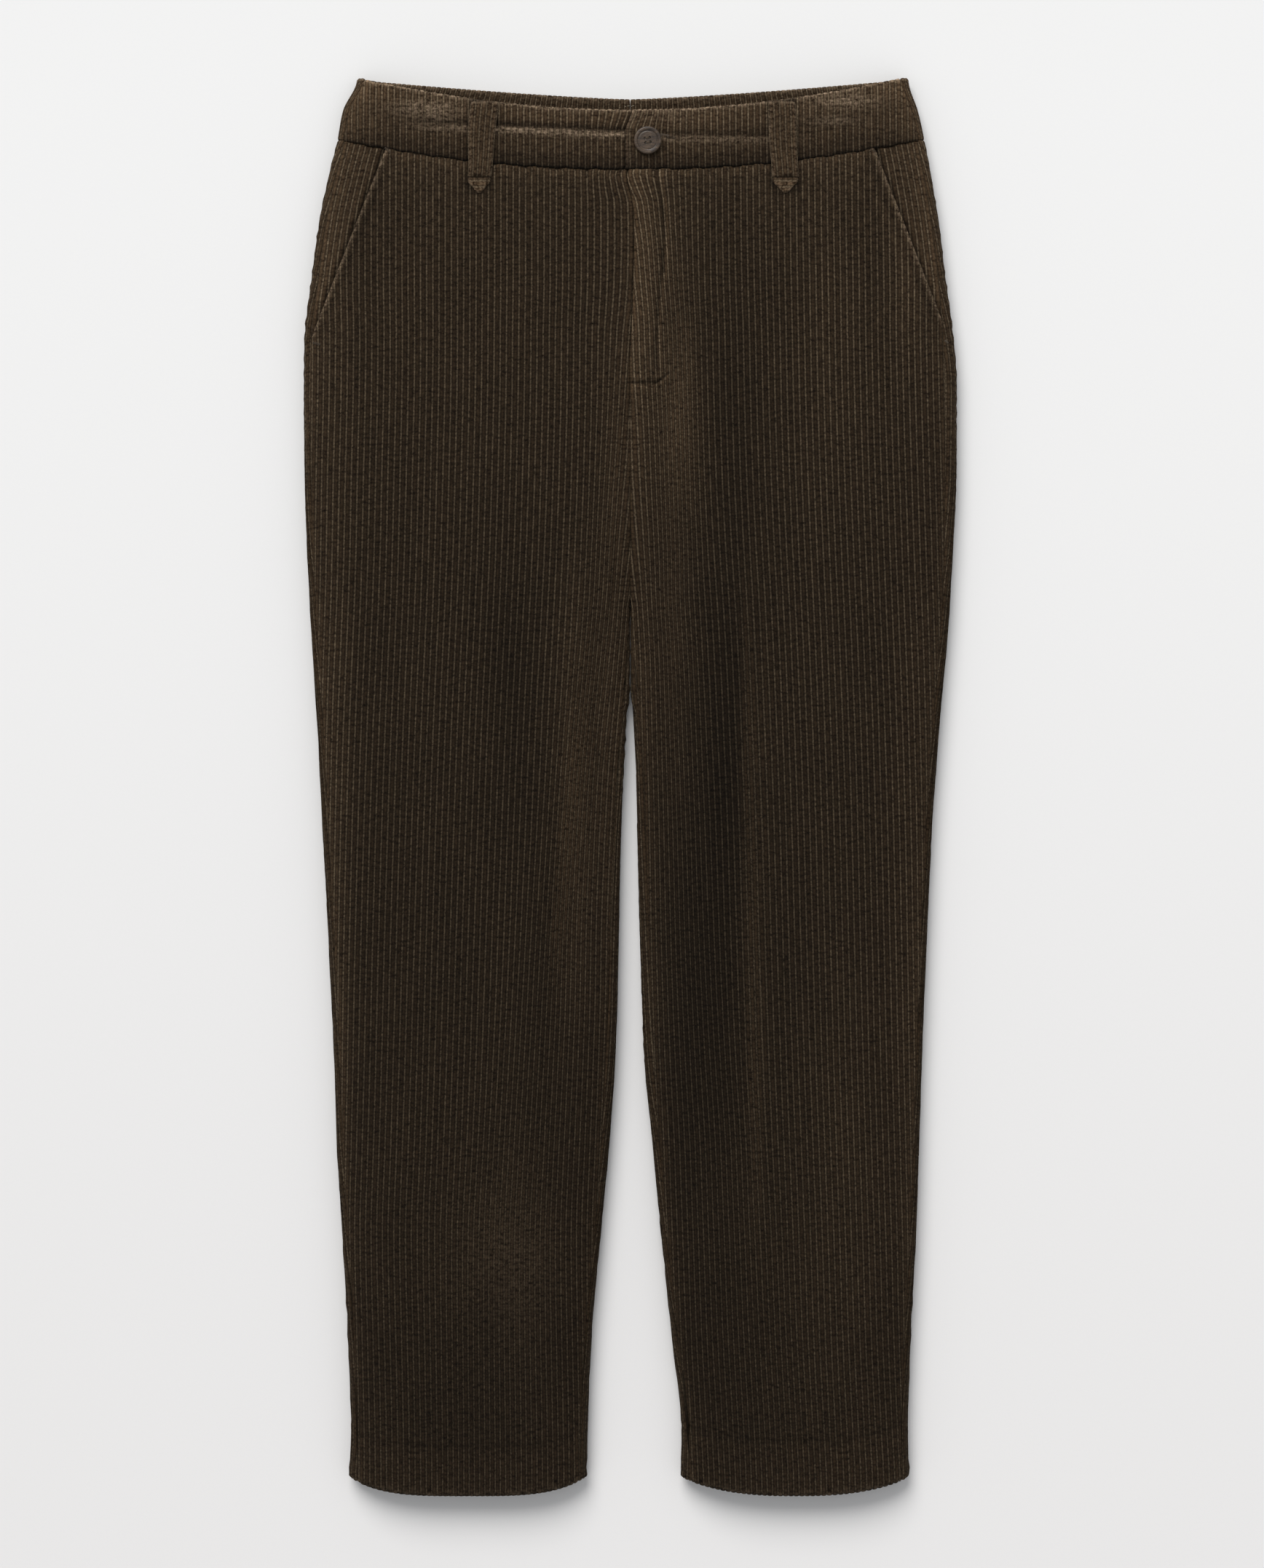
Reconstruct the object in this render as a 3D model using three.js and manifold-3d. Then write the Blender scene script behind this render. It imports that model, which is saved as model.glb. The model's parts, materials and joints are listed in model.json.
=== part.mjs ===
// Corduroy trousers laid flat on their back, front up, legs along -Y, waist along +Y.
// Millimetres, +Z up, the surface that they lie on at z = 0. The wearer's right is on -X.
// Every panel is a wall of ribbed cloth. A section across the garment gives the line that the cloth
// follows at one height, and columns along the wales carry the cloth from section to section.
import * as THREE from 'three';
import { mergeVertices } from 'three/addons/utils/BufferGeometryUtils.js';
import Module from 'manifold-3d';

// Driving dimensions
const WALE = 4.2;            // pitch of the wales
const RIB = 0.8;             // height of a wale over its grooves
const CLOTH = 1.3;           // wall under the grooves
const HEM_CLOTH = 2.4;       // wall where the hem is turned up
const BAND_CLOTH = 2.0;      // wall of the waistband, doubled cloth
const BAND_PROUD = 0.5;      // the band's face over the panels' faces
const SEAM = 0.3;            // clear gap between two pieces at a seam
const FORK_EASE = 0.4;       // how much further apart the seams are at the fork, where they turn most
const WAIST = 488;           // height of the waistband's corners
const CROTCH = 127.5;        // height of the fork
const HEM = -477;            // height of the hem at the folds
const HEM_DROP = 11;         // how far the hem curves down between the folds
const HEM_DEPTH = 40;
const POCKET_FOOT = 307;     // height where the slant pocket meets the side seam
const SOFTNESS = 4;          // power of the arch: how quickly the front rises from a fold
const RIGHT = -1;
const LEFT = 1;

const table = (names, rows) => rows.map((row) =>
  Object.fromEntries(names.split(' ').map((name, i) => [name, row[i]])));

const mix = (a, b, t) => a + (b - a) * t;
const clamp = (v, low = 0, high = 1) => Math.min(high, Math.max(low, v));
const smooth = (v) => clamp(v) ** 2 * (3 - 2 * clamp(v));

// A row a section: its height, the distance from the centre line of the outer fold and of the inner
// fold on each side, and the distance of one straight wale, which the other wales are counted from.
const OUTLINE = table('y outRight outLeft inRight inLeft waleRight waleLeft', [
  [488, 188.8, 192.3, 0.15, 0.15, 122.8, 109.5],
  [466, 198.5, 198.8, 0.15, 0.15, 122.8, 109.5],
  [445, 202.3, 203.3, 0.15, 0.15, 122.8, 109.5],
  [424, 207.5, 207.3, 0.15, 0.15, 122.8, 109.8],
  [390, 214.6, 212.8, 0.15, 0.15, 122.8, 110],
  [350, 220.0, 217.8, 0.15, 0.15, 122.8, 110.5],
  [307, 225.0, 223.5, 0.15, 0.15, 122.8, 111.3],
  [278, 225.3, 225.5, 0.15, 0.15, 123, 111.8],
  [220, 224.8, 225.3, 0.15, 0.15, 124.2, 113.3],
  [165, 223.0, 222.8, 0.15, 0.15, 125.6, 115.5],
  [127.5, 221.3, 220.8, 0.3, 0.3, 127, 117.3],
  [40, 215.8, 213.3, 2.8, 3.8, 131, 121],
  [-30, 212.3, 208.3, 6.3, 4.8, 133.5, 123.3],
  [-190, 204.3, 201.3, 10.3, 9.8, 138.3, 127.5],
  [-250, 202.3, 199.3, 14.8, 15.8, 140.3, 129.6],
  [-310, 198.8, 197.3, 20.3, 21.3, 142.3, 131.8],
  [-380, 195.0, 193.8, 26.5, 28.5, 141.2, 134],
  [-448, 192.8, 191.8, 29.3, 35.3, 140, 137.3],
  [-477, 194.3, 192.8, 29.8, 34.8, 139.8, 138.8],
  [-488, 194.3, 192.8, 29.8, 34.8, 139.8, 139],
]);

// A row a level: the crown is the front's highest line, fold the height of the widest line of the
// side folds, valley the front at the centre line, lift the back there, and pinch how far the front
// turns down into the fork. Draw is how close the wales are drawn, wrap how far the back comes round
// the inner fold, reachRight and reachLeft how far it comes round the outer fold.
const LEVELS = table('y crown fold valley lift pinch draw wrap reachRight reachLeft', [
  [488, 19, 7.5, 18.5, 0, 0, 1.01, 0, 7.5, 7.5],
  [445, 22.5, 9, 22, 0, 0, 1.01, 0, 7.5, 7.5],
  [350, 25, 9.8, 24.5, 0, 0, 1.01, 0, 7.5, 8],
  [307, 25.5, 9.8, 25, 0, 0, 1, 0, 7.5, 11],
  [278, 26, 9.8, 25, 0, 0, 1, 0, 7.5, 12],
  [220, 26.5, 9.8, 22.5, 0, 0.2, 1, 0, 7.5, 12],
  [165, 27, 10, 16, 3.5, 0.6, 0.995, 0, 7.5, 10],
  [127.5, 27, 10, 10, 10, 1, 0.99, 0, 7.5, 9],
  [40, 27, 10, 10, 10, 1, 0.985, 6, 7.5, 8],
  [-110, 27, 10, 10, 10, 1, 0.975, 7, 7.5, 7.5],
  [-310, 25.5, 10, 10, 10, 1, 0.95, 7, 7.5, 7.5],
  [-448, 24, 9.5, 9.5, 9.5, 1, 0.94, 8, 8, 8],
  [-488, 22.5, 9, 9, 9, 1, 0.94, 8, 8, 8],
]);

// The largest soft folds along the legs, a row each: side, distance from the centre line, the
// heights where it starts and ends, its half width, and its rise, which is less than 0 in a trough.
const FOLDS = table('side d top bottom width rise', [
  [RIGHT, 24, 170, -100, 9, -2.6],
  [RIGHT, 62, 150, -220, 14, 1.6],
  [LEFT, 37, 250, 10, 9, 2.2],
  [LEFT, 87, 180, -390, 10, 1.8],
]);

// The slant edge of the pocket: its distance from the centre line at each height.
const SLANT = table('y d', [[445, 165.5], [307, 220.3]]);

function level(rows, y) {
  const i = clamp(rows.findIndex((row) => row.y <= y), 1, rows.length - 1);
  const [above, below] = y < rows.at(-1).y ? rows.slice(-2) : [rows[i - 1], rows[i]];
  const t = (above.y - y) / (above.y - below.y);
  return Object.fromEntries(Object.keys(above).map((k) => [k, mix(above[k], below[k], t)]));
}

// The edges of the pieces that run across the body, as heights over the distance d from the centre.
const frontSeam = (d) => 423.5 + 22 * (Math.abs(d) / 203) ** 2.2;
const frontTop = (d) => 464.5 + (WAIST - 464.5) * (Math.abs(d) / 190) ** 2;
const backTop = (d) => 474.5 + (WAIST - 474.5) * (Math.abs(d) / 190) ** 1.3;
const backSeam = (d) => 432.5 + (445.5 - 432.5) * (Math.abs(d) / 203) ** 1.3;

function foldRise(side, d, y) {
  let rise = 0;
  for (const fold of FOLDS) {
    if (fold.side !== side) continue;
    const along = smooth((fold.top - y) / 90) * smooth((y - fold.bottom) / 90);
    rise += fold.rise * along * Math.exp(-(((d - fold.d) / fold.width) ** 2));
  }
  return rise;
}

// The line that one side's cloth follows across the garment at one section: from the centre seam or
// inseam fold over the crown, down round the outer fold, along the surface and up at the inner fold.
// d is the distance from the centre line, and arc the length of cloth from the line's start.
function sectionLine(side, row) {
  const name = side === RIGHT ? 'Right' : 'Left';
  const outer = row['out' + name] - RIB;
  const inner = row['in' + name] + RIB * clamp(row.pinch * 5);
  const crownAt = (outer + inner) / 2;
  const half = outer - crownAt;
  const line = [];
  const steps = 40;
  const put = (d, z) => line.push({ d, z });
  for (let i = 0; i <= steps; i++) {
    const turn = (Math.PI / 2) * (i / steps);
    const away = Math.cos(turn) ** (2 / SOFTNESS);
    const soft = (1 + Math.cos(Math.PI * away)) / 2;
    const arch = mix(soft, Math.sin(turn), row.pinch);
    const d = crownAt - half * away;
    put(d, mix(row.valley, row.crown, arch) + foldRise(side, d, row.y) * Math.sin(turn));
  }
  for (let i = steps - 1; i >= 0; i--) {
    const turn = (Math.PI / 2) * (i / steps);
    const d = crownAt + half * Math.cos(turn) ** (2 / SOFTNESS);
    put(d, mix(row.fold, row.crown, Math.sin(turn)) + foldRise(side, d, row.y) * Math.sin(turn));
  }
  const widest = line.length - 1;
  const roundSteps = 12;
  for (let i = 1; i <= roundSteps; i++) {
    const turn = (Math.PI / 2) * (i / roundSteps);
    put(outer - row.fold * (1 - Math.cos(turn)), row.fold * (1 - Math.sin(turn)));
  }
  const floorStart = line.length - 1;
  put(inner + row.lift, 0);
  const floorEnd = line.length - 1;
  for (let i = 1; i <= roundSteps && row.lift > 0; i++) {
    const turn = (Math.PI / 2) * (i / roundSteps);
    put(inner + row.lift * (1 - Math.sin(turn)), row.lift * (1 - Math.cos(turn)));
  }
  let arc = 0;
  line.forEach((p, i) => {
    if (i) arc += Math.hypot(p.d - line[i - 1].d, p.z - line[i - 1].z);
    p.arc = arc;
  });
  return {
    ...row, line, outer, inner, length: arc,
    floorStart: line[floorStart].arc, floorEnd: line[floorEnd].arc,
    waleArc: arcAt(line, row['wale' + name]),
    inseam: row.wrap,
    outseam: line[widest].arc - row['reach' + name],
  };
}

// The length of cloth from the line's start to a distance d on the front.
function arcAt(line, d) {
  const i = Math.max(1, line.findIndex((p) => p.d >= d));
  const [a, b] = [line[i - 1], line[i]];
  return mix(a.arc, b.arc, (d - a.d) / (b.d - a.d));
}

const sections = {};
for (const side of [RIGHT, LEFT]) {
  sections[side] = OUTLINE.map((row) => sectionLine(side, { ...level(LEVELS, row.y), ...row }));
  straightenSeams(sections[side]);
}

// A front is widest at one height on each edge, and from there on its seams cut off wale after wale.
// So each seam is moved a little where the table's outline would take a wale up again.
function straightenSeams(rows) {
  const wales = (arc, row) => arc / row.draw;
  const narrow = (list, reachOf, moveTo) => {
    for (let i = 1; i < list.length; i++) {
      const most = reachOf(list[i - 1]);
      if (reachOf(list[i]) > most) moveTo(list[i], most);
    }
  };
  const inward = (row) => wales(row.waleArc - row.inseam, row);
  const outward = (row) => wales(row.outseam - row.waleArc, row);
  const widest = rows.reduce((a, b) => (outward(b) > outward(a) ? b : a));
  const up = rows.filter((row) => row.y >= widest.y).reverse();
  const down = rows.filter((row) => row.y <= widest.y);
  const moveIn = (row, most) => { row.inseam = row.waleArc - most * row.draw; };
  const moveOut = (row, most) => { row.outseam = row.waleArc + most * row.draw; };
  narrow(rows.filter((row) => row.y <= CROTCH), inward, moveIn);
  narrow(up, outward, moveOut);
  narrow(down, outward, moveOut);
}

// A point on one section: arc along the cloth, lift off its face. Before the line's start it goes on
// straight over the centre line, and after its end it goes on round the leg from the start again.
function onSection(side, section, arc, off) {
  const { line, length } = section;
  const round = arc > length && section.y <= CROTCH;
  const along = round ? arc - length : Math.min(arc, length);
  let i = line.findIndex((p) => p.arc >= along);
  if (i < 1) i = i === 0 ? 1 : line.length - 1;
  const [a, b] = [line[i - 1], line[i]];
  const step = b.arc - a.arc;
  const [td, tz] = along < 0 ? [1, 0] : [(b.d - a.d) / step, (b.z - a.z) / step];
  const d = a.d + td * (along - a.arc) - tz * off;
  const z = a.z + tz * (along - a.arc) + td * off;
  return new THREE.Vector3(side * d, section.y, z);
}

// The two sections that a height lies between, and how far it is from the upper to the lower one.
function between(side, y) {
  const rows = sections[side];
  const i = clamp(rows.findIndex((row) => row.y <= y), 1, rows.length - 1);
  return [rows[i - 1], rows[i], (rows[i - 1].y - y) / (rows[i - 1].y - rows[i].y)];
}

function place(side, y, arcOf, off) {
  const [above, below, t] = between(side, y);
  const p = onSection(side, above, arcOf(above), off);
  return p.lerp(onSection(side, below, arcOf(below), off), t).setY(y);
}

const lerpOn = (side, y, valueOf) => {
  const [above, below, t] = between(side, y);
  return mix(valueOf(above), valueOf(below), t);
};

// The heights between which a column lies inside its piece: inside(y) is above 0 there.
function span(inside) {
  const step = 1.5;
  let top = null;
  let bottom = null;
  for (let y = WAIST + 2; y >= HEM - HEM_DROP - 2; y -= step) {
    if (inside(y) < 0) continue;
    top ??= y;
    bottom = y;
  }
  if (top === null) return null;
  const edge = (within, without) => {
    for (let i = 0; i < 14; i++) {
      const half = (within + without) / 2;
      if (inside(half) >= 0) within = half;
      else without = half;
    }
    return within;
  };
  return [edge(top, top + step), edge(bottom, bottom - step)];
}

// A column of cloth: points down its length on the face and on the inside of the wall.
function column(side, arcOf, inside, { face, wall, levels = [], shortest = 9 }) {
  const ends = span(inside);
  if (!ends || ends[0] - ends[1] < shortest) return null;
  const [top, bottom] = ends;
  const clear = 1.5;
  const middle = [...sections[side].map((row) => row.y), ...levels]
    .filter((y) => y < top - clear && y > bottom + clear)
    .sort((a, b) => b - a);
  return [top, ...middle, bottom].map((y) => ({
    y,
    face: place(side, y, arcOf, face(y)),
    back: place(side, y, arcOf, -wall(y)),
  }));
}

// Triangles between two lines of numbered points that run side by side. Each step goes on along the
// line that nextFirst picks.
function zip(a, b, faces, nextFirst) {
  let i = 0;
  let j = 0;
  while (i < a.length - 1 || j < b.length - 1) {
    const first = j === b.length - 1 || (i < a.length - 1 && nextFirst(a[i], b[j], a[i + 1], b[j + 1]));
    faces.push(a[i].id, b[j].id, first ? a[i + 1].id : b[j + 1].id);
    if (first) i++;
    else j++;
  }
}
const downward = (a, b, nextA, nextB) => nextA.at.y >= nextB.at.y - 1e-6;
const shorter = (a, b, nextA, nextB) => nextA.at.distanceTo(b.at) <= nextB.at.distanceTo(a.at);

// A closed wall of cloth from its columns. faceOf and backOf say which columns each side keeps.
// Where a column is shorter than the next one, seams(first, y) gives the node of the seam at a
// section's height, at the first or the last column's side, so that the cut follows the seam.
function wallFrom(columns, faceOf, backOf, seams = () => null) {
  const points = [];
  const faces = [];
  const put = (at) => {
    points.push(...at.toArray());
    return { id: points.length / 3 - 1, at };
  };
  const surface = (which, keep) => {
    const kept = columns.filter((c, i) => keep(i, columns.length));
    const rows = kept.map((c) => c.map((node) => put(node[which])));
    const along = (a, b, end) => {
      const [ya, yb] = [a.at(end).at.y, b.at(end).at.y];
      if (Math.abs(ya - yb) < 12) return [];
      const first = end === 0 ? ya < yb : ya > yb;
      const between = OUTLINE.map((row) => row.y)
        .filter((y) => y < Math.max(ya, yb) - 1.5 && y > Math.min(ya, yb) + 1.5);
      const found = between.map((y) => seams(first, y)).filter(Boolean).map((node) => put(node[which]));
      return ya > yb ? found : found.reverse();
    };
    const cuts = [0, -1].map((end) => rows.slice(1).map((row, i) => along(rows[i], row, end)));
    const ends = [0, -1].map((end, e) =>
      rows.flatMap((row, i) => [row.at(end), ...(cuts[e][i] ?? [])]));
    const strips = rows.slice(1).map((row, i) => {
      const [a, b] = [[...rows[i]], [...row]];
      const falling = (line) => [...line].sort((p, q) => q.at.y - p.at.y);
      const top = falling(cuts[0][i]);
      const bottom = falling(cuts[1][i]);
      (a[0].at.y < b[0].at.y ? a : b).unshift(...top);
      (a.at(-1).at.y > b.at(-1).at.y ? a : b).push(...bottom);
      return [a, b];
    });
    return { rows, ends, strips };
  };
  const outer = surface('face', faceOf);
  const inner = surface('back', backOf);
  for (const [a, b] of outer.strips) zip(a, b, faces, downward);
  for (const [a, b] of inner.strips) zip(b, a, faces, downward);
  zip(outer.ends[0], inner.ends[0], faces, shorter);
  zip(inner.ends[1], outer.ends[1], faces, shorter);
  zip(inner.rows[0], outer.rows[0], faces, shorter);
  zip(outer.rows.at(-1), inner.rows.at(-1), faces, shorter);
  return solidFrom(points, faces);
}

// A geometry with its faces turned out, whatever way round its columns were given.
function solidFrom(points, faces) {
  const at = (i) => new THREE.Vector3().fromArray(points, 3 * i);
  let volume = 0;
  for (let i = 0; i < faces.length; i += 3) {
    volume += at(faces[i]).dot(at(faces[i + 1]).cross(at(faces[i + 2])));
  }
  if (volume < 0) faces.reverse();
  const geometry = new THREE.BufferGeometry();
  geometry.setAttribute('position', new THREE.Float32BufferAttribute(points, 3));
  geometry.setIndex(faces);
  geometry.computeVertexNormals();
  return geometry;
}

const every = () => true;
// The plain side of a wall: close columns near both edges, where the cloth turns, few between them.
const plain = (close, wide) => (i, count) =>
  i === 0 || i === count - 1 || (i % 2 === 0 && (i < close || i > count - close)) || i % wide === 0;

const nameOf = (side) => (side === RIGHT ? 'right' : 'left');
const parts = new THREE.Group();
const cloth = (color) => new THREE.MeshStandardMaterial({ color, roughness: 0.95, metalness: 0 });
const PANEL_CLOTH = cloth('#30281d');
const BAND_COLOUR = cloth('#392f25');
const POCKET_CLOTH = cloth('#3a3126');
const LOOP_CLOTH = cloth('#3d3429');
const HORN = new THREE.MeshStandardMaterial({ color: '#3a2c25', roughness: 0.45, metalness: 0 });

function add(name, geometry, material) {
  const mesh = new THREE.Mesh(geometry, material);
  mesh.name = name;
  parts.add(mesh);
  return mesh;
}

const distance = (side, y, arcOf) => side * place(side, y, arcOf, 0).x;
const hemWall = (y) => (y < HEM + HEM_DEPTH - HEM_DROP ? HEM_CLOTH : CLOTH);

function hemLine(side, y, arcOf) {
  const middle = lerpOn(side, y, (s) => (s.outer + s.inner) / 2);
  const half = lerpOn(side, y, (s) => (s.outer - s.inner) / 2);
  const across = (distance(side, y, arcOf) - middle) / half;
  return HEM - HEM_DROP * (1 - clamp(across ** 2));
}

const slantAt = (y) => (y > POCKET_FOOT ? level(SLANT, y).d : Infinity);

// The fly's fold: a flap a little proud of the left front, with a round foot.
const FLY = { width: 20, foot: 281, rise: 0.9, radius: 18 };
function flyRise(side, d, y) {
  if (side === RIGHT) return 0;
  const low = Math.max(0, FLY.foot + FLY.radius - y);
  const reach = low > FLY.radius ? 0 : FLY.width - FLY.radius + Math.sqrt(FLY.radius ** 2 - low ** 2);
  return FLY.rise * smooth((reach - d) / 3 + 0.5);
}

// A front: wales counted from its straight wale, cut by the waist seam, the centre seam, the
// inseam, the hem, the side seam and the slant of the pocket.
function frontPanel(side) {
  const atFork = (s) => s.y <= CROTCH && s.y > 0;
  const innerEdge = (s) => s.inseam + SEAM / 2 + (atFork(s) ? FORK_EASE : 0);
  const outerEdge = (s) => s.outseam - SEAM / 2;
  const columns = [];
  for (let k = -75; k <= 60; k++) {
    const arcOf = (s) => s.waleArc + k * (WALE / 2) * s.draw;
    const inside = (y) => Math.min(
      frontSeam(distance(side, y, arcOf)) - SEAM / 2 - y,
      y - hemLine(side, y, arcOf),
      lerpOn(side, y, (s) => arcOf(s) - innerEdge(s)),
      lerpOn(side, y, (s) => outerEdge(s) - arcOf(s)),
      slantAt(y) - SEAM / 2 - distance(side, y, arcOf));
    const rib = k % 2 ? RIB : 0;
    columns.push(column(side, arcOf, inside, {
      face: (y) => rib + flyRise(side, distance(side, y, arcOf), y),
      wall: hemWall,
    }));
  }
  const seams = (inner, y) => {
    if (!inner && y > POCKET_FOOT) return null;
    const arcOf = inner ? innerEdge : outerEdge;
    const face = flyRise(side, distance(side, y, arcOf), y);
    return { face: place(side, y, arcOf, face), back: place(side, y, arcOf, -hemWall(y)) };
  };
  const cut = columns.filter(Boolean);
  add(`front_${nameOf(side)}`, wallFrom(cut, every, plain(10, 8), seams), PANEL_CLOTH);
}

// A back: it lies on the surface, and its ribbed edges come round the folds to the seams.
function backPanel(side) {
  const roundWales = 10;
  const floorColumns = 5;
  const inFold = 8;
  const columns = [];
  const arcs = [];
  for (let i = 0; i <= roundWales; i++) {
    arcs.push((s) => mix(s.outseam + SEAM / 2, s.floorStart, i / roundWales));
  }
  for (let i = 1; i < floorColumns; i++) {
    arcs.push((s) => mix(s.floorStart, s.floorEnd - inFold, i / floorColumns));
  }
  for (let i = 0; i <= roundWales; i++) {
    arcs.push((s) => {
      const edge = s.length + s.inseam - SEAM / 2;
      return mix(s.floorEnd - inFold, edge, i / roundWales);
    });
  }
  arcs.forEach((arcOf, k) => {
    const inside = (y) => Math.min(
      backSeam(distance(side, y, arcOf)) - SEAM / 2 - y, y - hemLine(side, y, arcOf));
    const fromInner = arcs.length - 1 - k;
    const ribbed = Math.min(k, fromInner) % 2 ? RIB : 0;
    columns.push(column(side, arcOf, inside, {
      face: (y) => {
        const height = place(side, y, arcOf, 0).z;
        const onLeg = k > roundWales ? clamp((CROTCH - y) / 60) : 1;
        return ribbed * clamp((height - 0.5) / 3) * onLeg;
      },
      wall: hemWall,
    }));
  });
  add(`back_${nameOf(side)}`, wallFrom(columns, every, (i, n) => i % 2 === 0 || i === n - 1),
    PANEL_CLOTH);
}

// The pocket bearer: it fills the mouth of the slant pocket, a step lower than the pocket's edge.
function pocketBearer(side) {
  const step = 1;
  const columns = [];
  for (let k = 0; k <= 24; k++) {
    const arcOf = (s) => s.outseam - SEAM / 2 - k * (WALE / 2);
    const inside = (y) => Math.min(
      frontSeam(distance(side, y, arcOf)) - SEAM / 2 - y,
      distance(side, y, arcOf) - slantAt(y) - SEAM / 2,
      y - POCKET_FOOT);
    const sunk = step * clamp(k / 4);
    columns.push(column(side, arcOf, inside, {
      face: () => (k % 2 ? RIB : 0) - sunk,
      wall: () => CLOTH + sunk,
      shortest: 5,
    }));
  }
  const cut = columns.filter(Boolean);
  add(`pocket_bearer_${nameOf(side)}`, wallFrom(cut, every, plain(4, 4)), POCKET_CLOTH);
}

// Relief of the front bands: a crease along the right band, whose lower half stands proud, and the
// left band's end, which laps over the right one.
const CREASE = { y: 450.5, half: 1.5, rise: 0.9, fadeFrom: 85, fadeTo: 150 };
const LAP = { end: 2.6, rise: 1.1, fade: 45 };
function bandRise(side, d, y) {
  const fade = 1 - smooth((d - CREASE.fadeFrom) / (CREASE.fadeTo - CREASE.fadeFrom));
  const share = side === RIGHT ? 1 : 0.4;
  const crease = share * CREASE.rise * fade * smooth((CREASE.y + CREASE.half - y) / (2 * CREASE.half));
  const lap = side === LEFT ? LAP.rise * (1 - smooth((d + LAP.end) / LAP.fade)) : 0;
  return BAND_PROUD + crease + lap;
}

function frontBand(side) {
  const start = side === LEFT ? -LAP.end : LAP.end + SEAM;
  const columns = [];
  for (let k = -60; k <= 50; k++) {
    const arcOf = (s) => s.waleArc + (k + 0.6) * (WALE / 2) * s.draw;
    const inside = (y) => {
      const d = distance(side, y, arcOf);
      return Math.min(
        frontTop(d) - y, y - frontSeam(d) - SEAM / 2, d - start,
        lerpOn(side, y, (s) => s.outseam - SEAM / 2 - arcOf(s)));
    };
    columns.push(column(side, arcOf, inside, {
      face: (y) => (k % 2 ? RIB : 0) + bandRise(side, distance(side, y, arcOf), y),
      wall: () => BAND_CLOTH - BAND_PROUD,
      levels: [CREASE.y + CREASE.half, CREASE.y - CREASE.half],
    }));
  }
  const outerEdge = (s) => s.outseam - SEAM / 2;
  const seams = (inner, y) => (inner ? null : {
    face: place(side, y, outerEdge, BAND_PROUD),
    back: place(side, y, outerEdge, BAND_PROUD - BAND_CLOTH),
  });
  const cut = columns.filter(Boolean);
  add(`waistband_front_${nameOf(side)}`, wallFrom(cut, every, plain(8, 8), seams), BAND_COLOUR);
}

// A back band: gathered on elastic, so its wales lie closer. Its inside faces up behind the front
// band, so its wales are raised there too, and it lies flat underneath.
function backBand(side) {
  const gathered = 3.8;
  const columns = [];
  const count = 114;
  for (let k = 0; k <= count; k++) {
    const start = (s) => s.outseam + SEAM / 2;
    const arcOf = (s) => mix(start(s), s.length - SEAM / 2, k / count);
    const inside = (y) => {
      const d = distance(side, y, arcOf);
      return Math.min(backTop(d) - y, y - backSeam(d) - SEAM / 2);
    };
    const rib = (k % 2 ? RIB : 0) * (gathered / WALE);
    const height = (y) => place(side, y, arcOf, 0).z;
    columns.push(column(side, arcOf, inside, {
      face: (y) => rib * clamp((height(y) - 0.5) / 3),
      wall: (y) => BAND_CLOTH + rib * clamp(1 - height(y) / 3),
    }));
  }
  const turned = (i) => i < 16 || i === count || i % 14 === 0;
  const lying = (i) => i > 10 || i % 2 === 0;
  add(`waistband_back_${nameOf(side)}`, wallFrom(columns, turned, lying), BAND_COLOUR);
}

// A belt loop: a ribbed strip that stands off the band between its ends, with a pointed tab that
// lies on the front under the waist seam.
const LOOPS = table('side top foot topWidth footWidth', [
  [RIGHT, 100.3, 103.6, 19.5, 16.5],
  [LEFT, 104, 106.4, 19, 18.5],
]);
const LOOP = {
  wales: 5, wall: 1.2, off: 1.7, bow: 1.6, top: 470, head: 1.2, seam: 418, tabFrom: 417.5, tip: 407,
  levels: [462, 452, 434, 424.1, 420, 417.5],
};
function beltLoop({ side, top, foot, topWidth, footWidth }) {
  const columns = [];
  const steps = LOOP.wales * 2;
  for (let k = 0; k <= steps; k++) {
    const across = k / steps - 0.5;
    const dAt = (y) => {
      const t = clamp((LOOP.top - y) / (LOOP.top - LOOP.tabFrom));
      return mix(top, foot, t) + across * mix(topWidth, footWidth, t);
    };
    const arcOf = (s) => arcAt(s.line, dAt(s.y));
    const tabEdge = mix(LOOP.tip, LOOP.tabFrom, Math.abs(across) * 2);
    const inside = (y) => Math.min(frontTop(dAt(y)) - LOOP.head - y, y - tabEdge);
    const stand = (y) => {
      const t = clamp((y - LOOP.tabFrom) / (LOOP.top - LOOP.tabFrom));
      return LOOP.off + LOOP.bow * Math.sin(Math.PI * t) ** 0.7 * (t > 0 && t < 1 ? 1 : 0);
    };
    const onBand = (y) => bandRise(side, dAt(y), y) * smooth((y - LOOP.seam) / 8);
    const rib = k % 2 ? RIB * 0.8 : 0;
    const under = (y) => stand(y) + onBand(y) - RIB + SEAM;
    columns.push(column(side, arcOf, inside, {
      face: (y) => under(y) + LOOP.wall + rib,
      wall: (y) => -under(y),
      levels: LOOP.levels,
    }));
  }
  add(`belt_loop_${nameOf(side)}`, wallFrom(columns, every, (i) => i % 2 === 0), LOOP_CLOTH);
}

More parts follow.
